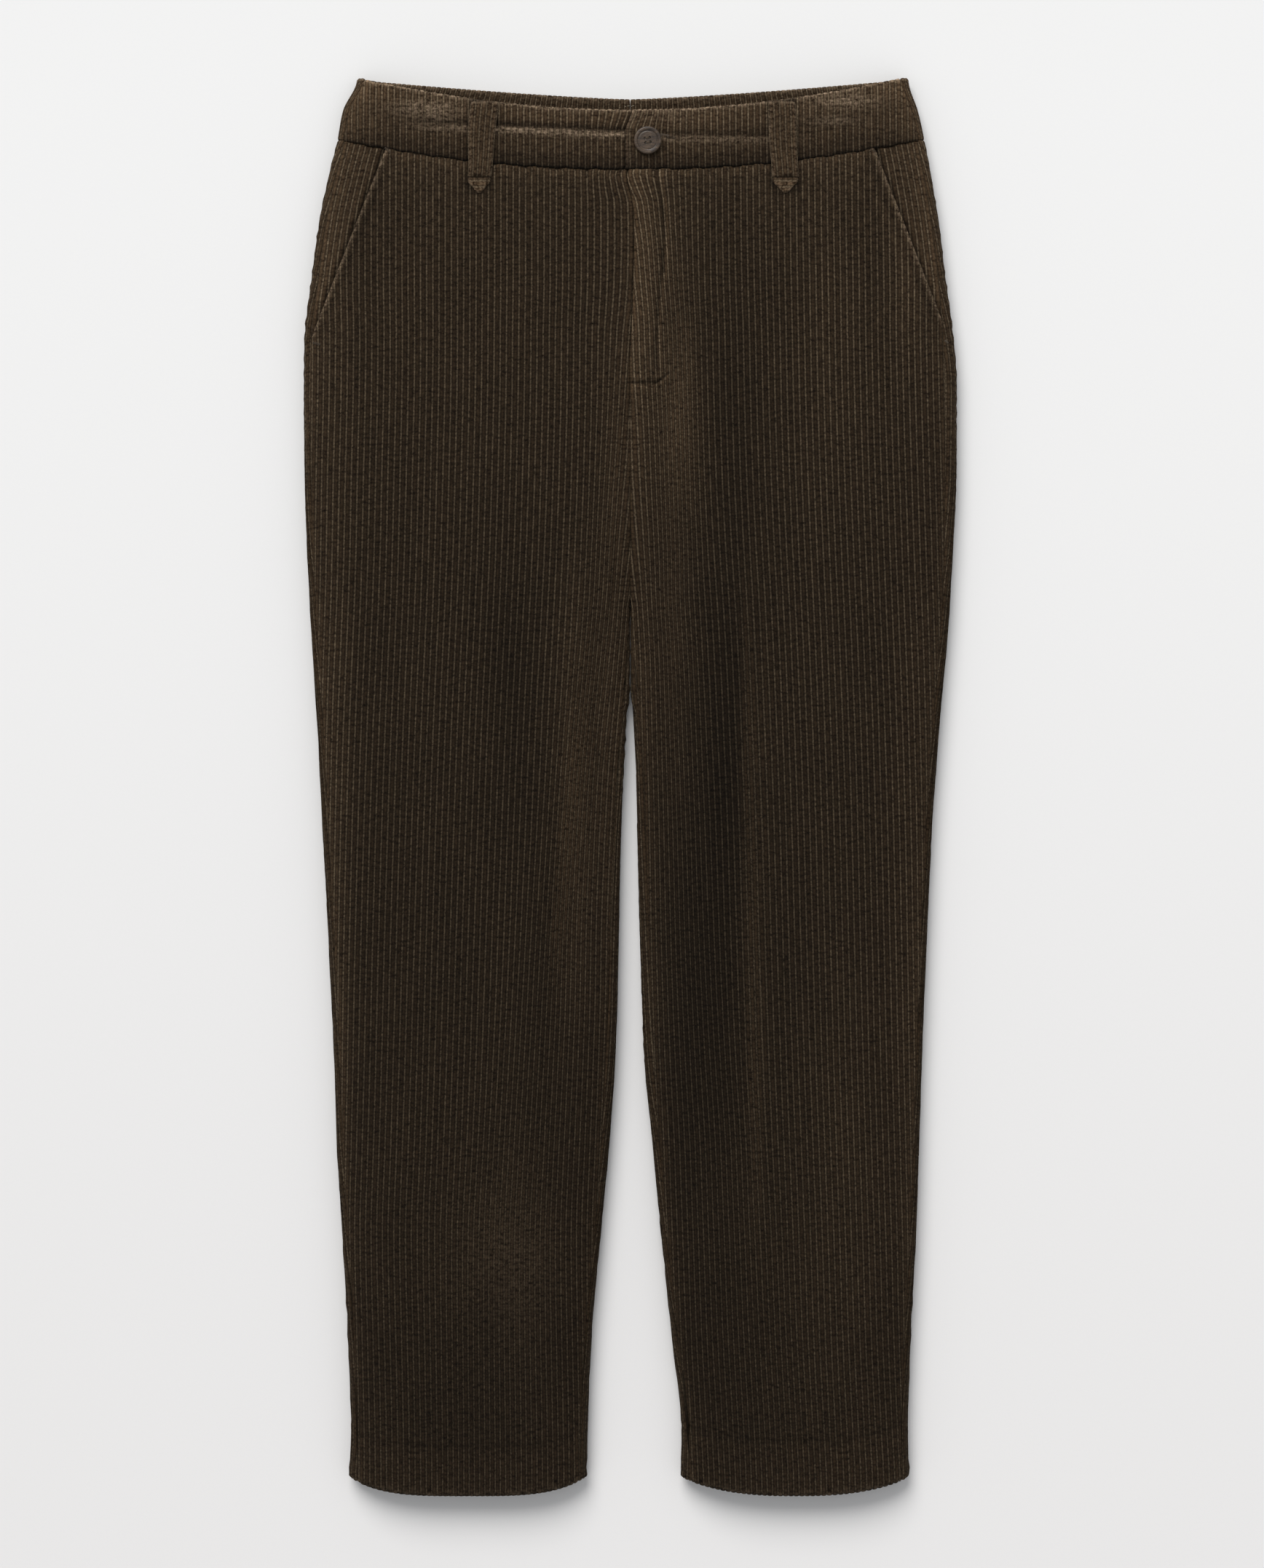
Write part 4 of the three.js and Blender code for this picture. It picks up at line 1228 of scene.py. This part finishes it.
def tone_at(side, d, y):
    """The tone down the leg, times 1 with a soft ellipse of painted light and shade added for each zone
    on this side.
    """
    tone = np.ones(np.broadcast(d, y).shape)
    for _, *place, gain in rows_on(PAINTED_LIGHT_ZONES, side):
        tone += gain * ellipse(d, y, *place)
    return down_leg(tone, y)


FRONTS = {side: front(side, word) for side, word in SIDES}

# %% [markdown]
# ## Pocket bearers
#
# Behind each slanting mouth lies the bearer, a step lower. It runs on under the mouth's edge, so no
# gap opens when you look at it from the side.


# %% Pocket bearers
def bearer(side, word):
    """Its columns are counted inwards from the outer seam, and it sinks away from that seam."""
    lines = side_lines(side)
    phase = wales(0, 16)
    arcs = lines["outseam"] - SEAM / 2 - phase * WALE
    y = ROWS[:, None]
    tuck = 3.0  # how far it runs on under the mouth's edge

    def edges(lie):
        return {
            "waist": front_seam(lie["d"]) - SEWN / 2 - y,
            "mouth": (lie["d"] - slant(y) + tuck) * SLANT_FACING,
            "foot": y - POCKET_FOOT,
            "outer": lines["outseam"] - SEWN / 2 - arcs,
        }

    def relief(c):
        sunk = np.clip(c["to_outer"] / 8, 0, 1) + 1.7 * smooth((tuck + 4 - c["to_mouth"]) / 5)
        face = PILE * pile(c["phase"]) - sunk
        face = face + roll(c["to_waist"], 2.0, 0.8) + roll(c["to_outer"], 1.5, 0.7)
        near = falloff(c["to_outer"], 6)
        # Painted light near the outer seam, and a painted shadow under the front's edge at the mouth.
        tone = 1.12 + 0.2 * near - 0.6 * smooth((tuck + 3.5 - c["to_mouth"]) / 3.5)
        return face, -CLOTH - sunk, {"squeeze": near, "tone": tone}

    sew(
        f"bearer_{word}", f"pocket_bearer_{word}", side, phase, arcs, edges, relief, POCKET_CLOTH,
        ([0, 0.6, 1.4, 2.6, 5], [0, 1, 3], 70), "pocket_cloth", [BACKS[side].name], shift=80,
    )


for side, word in SIDES:
    bearer(side, word)

# %% [markdown]
# ## The waistband
#
# The band is doubled cloth. In front it is smooth, with a crease where it has been bent over, and the
# left end laps over the right one. At the back an elastic gathers it, so its wales lie closer, and
# its inside shows behind the front edge.

# %% Front bands
CREASE_RISE, CREASE_DIP = 1.5, 2.0
LAP_END, LAP_RISE = 2.6, 1.4  # how far the left end laps over the right, and how much higher it is
SLIT_MIDDLE, SLIT_HALF, SLIT_LEAN = 27.2, 6.5, 0.12  # the buttonhole, and its lean to the side
CREASE = table("d right left", [[0, 448.5, 446], [90, 452, 445], [160, 454, 446], [210, 455, 447]])


def crease(side, d, y, phase):
    """A step along the band: the cloth above it dips, and the lip below it stands proud. The lip is
    scalloped by the wales. It fades out to the side. Given back are the step, a painted highlight on
    the lip and a painted shadow over it."""
    line = through(np.abs(d), CREASE["d"], CREASE["right" if side == RIGHT else "left"])
    line = line + 0.9 * pile(phase)
    if side == RIGHT:
        strength = 1 - smooth((d - 95) / 45) + 0.45 * bell((d - 134) / 16)
    else:
        strength = 0.5 * smooth((d - 12) / 12) * (1 - smooth((d - 90) / 40))
    below = smooth((line - y) / 1.6 + 0.5)
    dip = -CREASE_DIP * falloff(y - line, 5) * (1 - below)
    lip = CREASE_RISE * falloff(line - y, 16) * below
    shine = 1.2 * strength * bell((y - line + 2) / 2.6)
    return strength * (dip + lip), shine, strength * bell((y - line - 2.6) / 2.4)


def front_band(side, word):
    """Smooth doubled cloth, whose wales stand a third of a wale aside from the front's."""
    lines = side_lines(side)
    phase = wales(-38, 30)
    start = -LAP_END if side == LEFT else LAP_END + SEAM
    arcs = held(lines["wale"] + (phase + 0.3) * WALE * lines["draw"], start - 0.15, 1)
    arcs = held(arcs, lines["outseam"] - SEWN / 2, -1)
    y = ROWS[:, None]

    def edges(lie):
        return {
            "top": front_top(lie["d"]) - y,
            "waist": y - front_seam(lie["d"]) - SEWN / 2,
            "end": lie["d"] - start + 0.05,
            "outer": lines["outseam"] - SEWN / 2 - arcs,
        }

    def relief(c):
        x, d, y, count = c["x"], c["d"], c["y"], c["phase"]
        top, waist, end, outer = off_edges(c, "top waist end outer")
        step, shine, shadow = crease(side, d, y, count)
        face = BAND_PROUD + PILE * pile(count) * (1 + 0.12 * waves(count, y, 5, 6)) + step
        if side == LEFT:
            face = face + LAP_RISE * (1 - smooth((d + LAP_END) / 40))
        face = face + roll(top, 1.3, 1.9) + roll(waist, 2.6, 0.7)
        face = face + roll(end, 1.6, 1.7) + roll(outer, 1.5, 0.8)
        face = face + 0.3 * waves(count, y, 8, 11, 5)
        # Real rubbed places, with a painted highlight on the crease's lip and on the top edge; the left
        # end's edge is paler too.
        wear_and_highlight = rubbed_at(x, y) + 0.9 * shine + 1.1 * falloff(top, 1)
        wear_and_highlight = wear_and_highlight + 0.5 * falloff(end, 2.5) * (side == LEFT)
        near = falloff(outer, 12)
        # Painted light and shade: a painted shadow above the crease, a painted highlight on its lip,
        # lighter near the side seam, below the top edge and on it, darker along the waist seam and over
        # the lower band.
        tone = 1.0 - 0.7 * shadow + 0.3 * near - 0.45 * bell(waist / 1.4)
        tone = tone + 0.45 * bell((y - front_top(d) + 7) / 8) + 0.3 * shine + 0.5 * falloff(top, 2)
        tone = tone - 0.42 * smooth((front_seam(d) + 16 - y) / 14) + 0.08 * bell((y - 440) / 6)
        # The buttonhole's slit is painted dark, a painted shade in the opening, and sinks a little.
        across = bell((y - 446.0 + SLIT_LEAN * (x - 21)) / 0.9)
        slit = bell((x - SLIT_MIDDLE) / SLIT_HALF) ** 2 * across
        tone = np.maximum(tone * beside_loop(side, d, y) * (1 - 0.9 * slit), 0.05)
        fields = {"wear_and_highlight": np.clip(wear_and_highlight, 0, 1.2), "tone": tone, "squeeze": near}
        return face - slit, BAND_PROUD - BAND_CLOTH, fields

    spacing = [0, 0.25, 0.6, 1.1, 1.9, 3, 4.5, 6.5], [0, 0.4, 0.9, 1.6, 2.6, 4.5, 7], 34
    return sew(
        f"front_band_{word}", f"waistband_front_{word}", side, phase, arcs, edges, relief,
        BAND_CLOTH_FINISH, spacing, "band_cloth", [FRONTS[side].name], scallops=(0.75, 0.1),
        shift=120, place=pulled, meets=False,
    )


FRONT_BANDS = {side: front_band(side, word) for side, word in SIDES}


# %% Back bands
def back_band(side, word):
    """Gathered cloth: a fixed count of wales from the outer seam to the centre back. Its pile shows on
    both sides, pressed flat where it lies on the floor."""
    lines = side_lines(side)
    count = 57
    phase = np.append(wales(0, count), count)
    start, end = lines["outseam"] + SEWN / 2, lines["length"] - SEWN / 2
    arcs = mix(start, end, phase / count)
    y = ROWS[:, None]

    def edges(lie):
        return {
            "top": back_top(lie["d"]) - y,
            "waist": y - back_seam(lie["d"]) - SEWN / 2,
            "outer": arcs - start,
            "middle": end - arcs,
        }

    def relief(c):
        on_floor = lying(c)
        top, waist, outer, middle = off_edges(c, "top waist outer middle")
        high = PILE * (1 + 0.25 * waves(c["phase"], c["y"], 12, 7, 0.7))
        face = high * pile(c["phase"]) - PILE * on_floor
        face = face + roll(top, 1.4, 1.0) + roll(waist, 1.8, 0.9) + roll(outer, 1.5, 0.8)
        inside = BAND_CLOTH + PILE * on_floor + roll(top, 1.6, 1.0)
        inside = inside + high * on_floor * pile(c["phase"] + 0.15 * waves(0, c["phase"], 21, 3))
        inside = inside - 0.5 * bell(middle / 2.2)
        # A painted highlight on the band's upper edge, and lighter near the side seam.
        top_edge, near = falloff(top, 1.5), falloff(outer, 8)
        tone = 1.0 + 0.4 * top_edge + 0.2 * near
        fields = {"wear_and_highlight": 0.8 * top_edge, "squeeze": np.maximum(near, 0.25), "tone": tone}
        return face, -inside, fields

    spacing = [0, 0.3, 0.8, 1.5, 2.5, 4, 6], [0, 0.6, 1.5, 3, 6], 12
    sew(
        f"back_band_{word}", f"waistband_back_{word}", side, phase, arcs, edges, relief,
        BAND_CLOTH_FINISH, spacing, "band_cloth", [BACKS[side].name], scallops=(0.4, 0),
        every=(1, 1), both=True, shift=180,
    )


for side, word in SIDES:
    back_band(side, word)

# %% [markdown]
# ## Belt loops
#
# A loop is a strip of the same cloth, five wales wide, with its long edges folded in. Its upper end is
# sewn under the band's edge. Its lower end is caught over a small pointed tab of cloth that is turned
# crosswise, below the waist seam.

# %% Height of the front under a point
ACROSS = np.arange(-6.0, 232.0, 1.0)


def front_heights(side):
    """How high the fronts' section lines are over the distance from the centre line."""
    lines = SECTIONS[side]
    grid = []
    for d, z, widest in zip(lines["d"], lines["z"], lines["widest"]):
        shown = ARCS <= widest
        grid.append(np.interp(ACROSS, d[shown], z[shown]))
    return np.array(grid)


HEIGHTS = {side: front_heights(side) for side in (RIGHT, LEFT)}


def front_at(side, d, y):
    """The cloth's height at any place on a front, straight between the grid's points."""
    i, down = split((y - ROWS[0]) / ROW_STEP, len(ROWS))
    j, across = split(d - ACROSS[0], len(ACROSS))
    grid = HEIGHTS[side]
    upper = mix(grid[i, j], grid[i, j + 1], across)
    lower = mix(grid[i + 1, j], grid[i + 1, j + 1], across)
    return mix(upper, lower, down)


# %% Loops and their tabs
def strip(name, word, side, grids, uv, fields, every, flat):
    """A strip of loop cloth from its two grids. flat is its width, its length and its area."""
    made = wall(name, *grids, uv, LOOP_CLOTH, fields, every)
    dress(made, f"belt_loop_{word}", "loop_cloth", [FRONT_BANDS[side].name], *flat)


def belt_loop(row, side, word):
    """Wales run down it, its long edges roll in, and its middle stands off the band."""
    phase = np.append(wales(0, LOOP_WALES), LOOP_WALES)
    share = phase / LOOP_WALES - 0.5
    upper, lower = [0, 0.25, 0.6, 1.1, 1.8, 3, 5, 7], [0, 0.25, 0.6, 1.1, 1.8, 2.8, 4.2]
    y = heights(np.full(1, LOOP_TOP + 0.3), np.full(1, LOOP_FOOT), upper, lower, 44)
    t = (LOOP_TOP - y) / (LOOP_TOP - LOOP_FOOT)
    middle = mix(row["top"], row["foot"], t) + 0.25 * np.sin(7 * t + side)
    width = mix(row["topWidth"], row["footWidth"], t) + 0.35 * np.sin(5 * t)
    d = middle + share * width
    across = 1 - (2 * share) ** 2
    y = y + 0 * d + 0.7 * across * smooth((0.3 - t) / 0.3)
    bowed = LOOP_OFF + LOOP_BOW * np.sin(np.pi * np.clip(t, 0, 1)) ** 0.7
    bottom = front_at(side, middle, y) + bowed
    from_side = (0.5 - np.abs(share)) * width
    face = bottom + PILE * pile(phase) * smooth(from_side / 1.6) + 0.5 * across
    face = face + roll(from_side, 2.0, 1.3)
    face = face + roll(LOOP_TOP + 0.3 - y, 1.8, 1.6) + roll(y - LOOP_FOOT, 1.5, 1.0)
    # The rolled edges and the top end get a painted highlight.
    fields = {
        "wear_and_highlight": 0.85 * falloff(from_side, 0.9) + 0.5 * np.exp(-np.abs(LOOP_TOP - y) / 1.2),
        "tone": 1 + 0.22 * falloff(from_side, 1.5),
        "squeeze": 0.35,
    }
    uv = stacked(phase, y / WALE) + 230
    grids = [stacked(side * d, y, z) for z in (face, bottom - LOOP_WALL)]
    flat = (LOOP_WALES * WALE, LOOP_TOP - LOOP_FOOT, LOOP_WALES * WALE * (LOOP_TOP - LOOP_FOOT))
    strip(f"loop_{word}", word, side, grids, uv, fields, (3, 6), flat)


def loop_tab(row, side, word):
    """The tab tapers to its tip, and its wales run across it."""
    down = np.append(np.repeat(np.arange(3), 6) + np.tile(WALE_STEPS, 3), 3)[:, None] / 3
    y = mix(TAB_TOP, TAB_TIP, down)
    share = np.linspace(-0.5, 0.5, 19)
    taper = 1 - np.clip((down - 0.38) / 0.62, 0, 1) * 0.86
    d = row["foot"] + 0.2 + share * (row["footWidth"] - 0.6) * taper
    ground = front_at(side, row["foot"], y)
    from_side = np.minimum((0.5 - np.abs(share)) * row["footWidth"] * taper, y - TAB_TIP)
    face = ground + 1.5 + 0.7 * PILE * pile(3 * down) + roll(from_side, 1.6, 1.5)
    # A painted highlight on the tab's edges, and painted shade where it runs under the loop's foot.
    fields = {
        "wear_and_highlight": 0.1 + 0.45 * falloff(from_side, 1),
        "tone": 1.35 - 1.2 * smooth((y - LOOP_FOOT + 1.6) / 1.6),
        "squeeze": 0.6,
    }
    uv = stacked(3 * down, d / WALE) + 250
    grids = [stacked(side * d, y, z) for z in (face, ground - 0.3)]
    flat = (row["footWidth"], TAB_TOP - TAB_TIP, 0.6 * row["footWidth"] * (TAB_TOP - TAB_TIP))
    strip(f"tab_{word}", word, side, grids, uv, fields, (3, 3), flat)


for side, word in SIDES:
    for row in rows_of(LOOPS, side):
        belt_loop(row, side, word)
        loop_tab(row, side, word)

# %% [markdown]
# ## The button
#
# Horn buttons are turned on a lathe: a rim, a dished middle and four drilled holes. The turned form is
# a profile carried round. Here it is a grid of rings and angles, and the holes are pits in its height,
# with rings enough to hold their edges.

# %% Horn
BUTTON = {"x": 12.0, "y": 443.0, "top": 28.0, "hole": 0.85, "apart": 3.2}  # hole is a radius


def horn():
    f = Finish("horn", Roughness=0.34, Coat_Weight=0.12, Coat_Roughness=0.3, Specular_IOR_Level=0.4)
    place = f.add("ShaderNodeTexCoord", output=3)
    lean = {"Vector": place, "Rotation": (0, 0, 0.5), "Scale": (260, 900, 300)}
    around = f.add("ShaderNodeMapping", values=lean)
    streaks = f.noise(around, 1.0, 4.0, 0.6)
    clouds = f.noise(place, 240.0, 2.0)
    share = (streaks * 0.65 + clouds * 0.5).step(0.42, 0.72)
    colour = f.blend(share, srgb(38, 29, 22), srgb(78, 63, 49))
    flecks = f.noise(place, 1900.0, 2.0).step(0.62, 0.74)
    colour = f.blend(flecks * 0.3, colour, srgb(118, 100, 80))
    f.paint(colour)
    f.bump(streaks, 0.15, 0.0002)
    return f.material


def button():
    """Rings from the middle out over the rim, down the side and under. Near each hole the height
    drops by a steep S of the distance to that hole's middle."""
    r_top = np.concatenate([np.linspace(0.02, 4.2, 43), np.linspace(4.5, 9.3, 25)])
    r = np.concatenate([r_top, [9.42, 9.5, 9.5, 9.4, 9.0, 6.0, 0.02]])
    rim_form = 0.75 * smooth((r_top - 6.9) / 0.7) - 0.12 * bell((r_top - 6.4) / 0.35)
    round_over = 0.5 * np.clip((r_top - 8.6) / 0.7, 0, 1) ** 2
    z_top = BUTTON["top"] - 0.75 + rim_form - round_over
    z = np.concatenate([z_top, [27.3, 27.0, 26.3, 25.8, 25.4, 25.4, 25.4]])
    turn = np.linspace(0, 2 * np.pi, 145)[None]
    x, y = r[:, None] * np.cos(turn), r[:, None] * np.sin(turn)
    z = z[:, None] + 0 * x
    half = BUTTON["apart"] / 2
    angle = np.radians(8)
    top_side = (np.arange(len(r)) < len(r_top))[:, None]
    for sx, sy in ((1, 1), (1, -1), (-1, 1), (-1, -1)):
        hx = half * (sx * np.cos(angle) - sy * np.sin(angle))
        hy = half * (sx * np.sin(angle) + sy * np.cos(angle))
        pit = smooth((BUTTON["hole"] + 0.1 - np.hypot(x - hx, y - hy)) / 0.2)
        z = z - 1.3 * pit * top_side
    points = stacked(x + BUTTON["x"], y + BUTTON["y"], z)
    ids = np.arange(x.size).reshape(x.shape)
    ids[:, -1] = ids[:, 0]
    made = new_mesh("horn_button", points.reshape(-1, 3), [quads(ids)], horn(), sharp=50)
    tidy_mesh(made)
    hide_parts("button")
    return made


def tidy_mesh(piece):
    """Closes the poles and drops unused points: doubles are merged and normals are set outwards."""
    work = bmesh.new()
    work.from_mesh(piece.data)
    bmesh.ops.remove_doubles(work, verts=work.verts, dist=0.00003)
    bmesh.ops.delete(work, geom=[v for v in work.verts if not v.link_faces], context="VERTS")
    bmesh.ops.recalc_face_normals(work, faces=work.faces)
    work.to_mesh(piece.data)
    work.free()


HORN_BUTTON = button()
print("button:", len(HORN_BUTTON.data.polygons), "faces")

# %% [markdown]
# ## Thread
#
# Thread is drawn with one helper: a tube of a few sides carried along points. It makes the buttonhole's
# bar, the thread that holds the button, the tacks at the pocket's ends and the loose stitches at the
# back of the band.


# %% Stitches
def thread_finish(name, light, dark):
    f = Finish(name, Roughness=0.8, Specular_IOR_Level=0.25, Sheen_Weight=0.2, Sheen_Roughness=0.5)
    place = f.add("ShaderNodeTexCoord", output=3)
    f.paint(f.blend(f.noise(place, 1500.0, 2.0), dark, light))
    f.bump(f.noise(place, 4000.0, 1.0), 0.4, 0.0001)
    return f.material


BROWN_THREAD = thread_finish("brown thread", srgb(86, 72, 54), srgb(44, 34, 24))
PALE_THREAD = thread_finish("pale thread", srgb(178, 166, 142), srgb(112, 100, 80))


def tubes(name, paths, radius, material):
    """Closed tubes of six sides along paths[thread, point, 3], in millimetres. At each point the
    ring stands across the path, on two directions square to it."""
    paths = np.asarray(paths, float)
    along = np.gradient(paths, axis=1)
    along /= np.linalg.norm(along, axis=-1, keepdims=True)
    first = np.cross(along, [0.13, 0.21, 0.97])
    first /= np.linalg.norm(first, axis=-1, keepdims=True)
    second = np.cross(along, first)
    turn = np.arange(6) * np.pi / 3
    count, steps = paths.shape[:2]
    wide = np.ones(steps)
    wide[[0, -1]] = 0.35
    ring = first[:, :, None] * np.cos(turn)[:, None] + second[:, :, None] * np.sin(turn)[:, None]
    points = paths[:, :, None] + ring * (radius * wide)[None, :, None, None]
    ids = np.arange(count * steps * 6).reshape(count, steps, 6)
    near, far = ids[:, :-1], ids[:, 1:]
    sides = np.stack([near, np.roll(near, -1, 2), np.roll(far, -1, 2), far], -1).reshape(-1, 4)
    caps = np.vstack([ids[:, 0, ::-1], ids[:, -1]])
    made = new_mesh(name, points.reshape(-1, 3), [sides, caps], material)
    return made


def on_front(x, y, above):
    """Points on the fronts at x, y, above the grooves by a given height."""
    d = np.abs(x)
    z = np.where(x < 0, front_at(RIGHT, d, y), front_at(LEFT, d, y))
    return stacked(x, y, z + above)


def zigzag(start, end, count, width):
    """A bar tack: short threads across the line from start to end, each leaning to the next."""
    a, b = np.array(start, float), np.array(end, float)
    along = (b - a) / np.linalg.norm(b - a)
    across = np.array([-along[1], along[0]])
    t = (np.arange(count) + 0.5) / count
    foot = a + (b - a) * t[:, None]
    steps = np.linspace(-0.5, 0.5, 5)
    xy = foot[:, None] + across * width * steps[None, :, None] + along * 0.25 * steps[None, :, None]
    hump = 0.25 * (1 - (2 * steps) ** 2)
    return xy, hump


TACKS = table(
    "x1 y1 x2 y2 off",
    [
        [-168.5, 438.6, -165.2, 434.9, 1.0],
        [-218.5, 305.2, -213.0, 303.4, 0.8],
        [166.5, 437.2, 168.6, 433.2, 1.0],
        [216.5, 306.4, 219.0, 304.6, 0.8],
    ],
)
paths = []
for row in zip(*TACKS.values()):
    xy, hump = zigzag(row[:2], row[2:4], 9, 1.7)
    paths.extend(on_front(xy[..., 0], xy[..., 1], row[4] + hump))
POCKET_TACKS = tubes("pocket_tacks", paths, 0.17, BROWN_THREAD)

# The buttonhole's edge shows beside the button, and two threads cross each pair of holes.
steps = np.linspace(0, 1, 9)
rows = []
for k in range(24):
    x = mix(21.2, 33.2, k / 23)
    y = 447.2 - 0.12 * k + (steps - 0.5) * 2.4
    rows.append(on_front(x, y, BAND_PROUD + 0.55 + 0.35 * np.sin(np.pi * steps)))
BUTTONHOLE = tubes("buttonhole_thread", rows, 0.22, BROWN_THREAD)

holes = BUTTON["apart"] / 2
rows = []
for shift in (-0.28, 0, 0.28):
    for side in (-1, 1):
        x = BUTTON["x"] + mix(-holes, holes, steps) - side * holes * 0.14 + shift * 0.4
        y = BUTTON["y"] + side * holes + shift + 0.14 * mix(-holes, holes, steps)
        z = BUTTON["top"] - 1.1 + 0.75 * np.sin(np.pi * steps) ** 0.6
        rows.append(stacked(x, y, z))
BUTTON_THREAD = tubes("button_thread", rows, 0.2, BROWN_THREAD)

# Loose pale stitches where the back bands meet.
draw = np.random.default_rng(7)
rows = []
for k in range(5):
    x = mix(-9, 1.5, k / 4) + draw.uniform(-0.6, 0.6)
    xs = x + (steps - 0.5) * draw.uniform(1.5, 3.2)
    ys = draw.uniform(469.3, 470.9) + (steps - 0.5) * draw.uniform(-1.2, 1.2)
    z = BAND_CLOTH + 0.95 + 0.3 * np.sin(np.pi * steps)
    rows.append(stacked(xs, ys, z))
BACK_THREAD = tubes("back_seam_thread", rows, 0.2, PALE_THREAD)
print("threads:", [o.name for o in (POCKET_TACKS, BUTTONHOLE, BUTTON_THREAD, BACK_THREAD)])

# %% [markdown]
# ## Floor, light and camera
#
# The trousers lie on a pale surface, lit from beyond the waist, so every form's near side is darker
# and a soft shadow shows under the hems. A broad sun gives that direction, and the world fills in.
# The camera looks straight down. Its lens is long, so that nothing leans.


# %% The pale surface
def paper():
    f = Finish("pale paper", Roughness=0.9, Specular_IOR_Level=0.2)
    place = f.add("ShaderNodeTexCoord", output=3)
    y = f.add("ShaderNodeSeparateXYZ", values={"Vector": place}, output=1)
    # The paper is painted darker towards the hems: a painted fall-off of the light from beyond the
    # waist.
    share = y.step(-0.62, 0.6)
    grain = f.noise(place, 700.0, 2.0)
    colour = f.blend(share, srgb(223, 222, 222), srgb(233, 233, 233))
    f.paint(f.scaled(colour, grain * 0.02 + 0.99))
    f.bump(grain, 0.05, 0.0003)
    return f.material


FLOOR_HALF = 3.0
corners = np.array([[-1, -1], [1, -1], [1, 1], [-1, 1]]) * FLOOR_HALF
floor_mesh = bpy.data.meshes.new("pale_surface")
floor_mesh.from_pydata([(x, y, -0.0002) for x, y in corners], [], [(0, 1, 2, 3)])
floor_mesh.materials.append(paper())
placed("pale_surface", floor_mesh)

# %% Light
SUN_HEIGHT, SUN_TURN = 43.0, 18.0  # degrees above the floor, and aside from straight up the picture
sun = bpy.data.lights.new("sun", "SUN")
sun.energy, sun.angle = 2.6, np.radians(38)
sun.color = (1.0, 0.985, 0.965)
lamp = placed("sun", sun)
lamp.rotation_euler = (np.radians(SUN_HEIGHT - 90), 0, np.radians(SUN_TURN))

world = bpy.data.worlds.new("studio")
world.use_nodes = True
sky = world.node_tree.nodes["Background"].inputs
sky["Color"].default_value = (0.97, 0.985, 1.0, 1)
sky["Strength"].default_value = 0.55
bpy.context.scene.world = world
bpy.context.scene.view_settings.view_transform = "Standard"
bpy.context.scene.view_settings.look = "None"

# %% Camera
VIEW_WIDTH, CAMERA_HEIGHT, TYPICAL_TOP = 0.868, 3.0, 0.025
camera = bpy.data.cameras.new("camera")
camera.sensor_fit, camera.sensor_width = "HORIZONTAL", 36.0 * 1736 / 2154
camera.lens = camera.sensor_width * (CAMERA_HEIGHT - TYPICAL_TOP) / VIEW_WIDTH
eye = placed("camera", camera)
eye.location = (0.00125, 0.001, CAMERA_HEIGHT)
bpy.context.scene.camera = eye
print("lens", round(camera.lens, 2), "mm, sun", SUN_HEIGHT, "degrees up")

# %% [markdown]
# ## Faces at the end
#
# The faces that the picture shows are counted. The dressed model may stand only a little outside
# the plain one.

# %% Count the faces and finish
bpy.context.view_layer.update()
faces = sum(len(o.data.polygons) for o in bpy.data.objects if o.type == "MESH" and not o.hide_render)
print("faces in the picture:", faces)
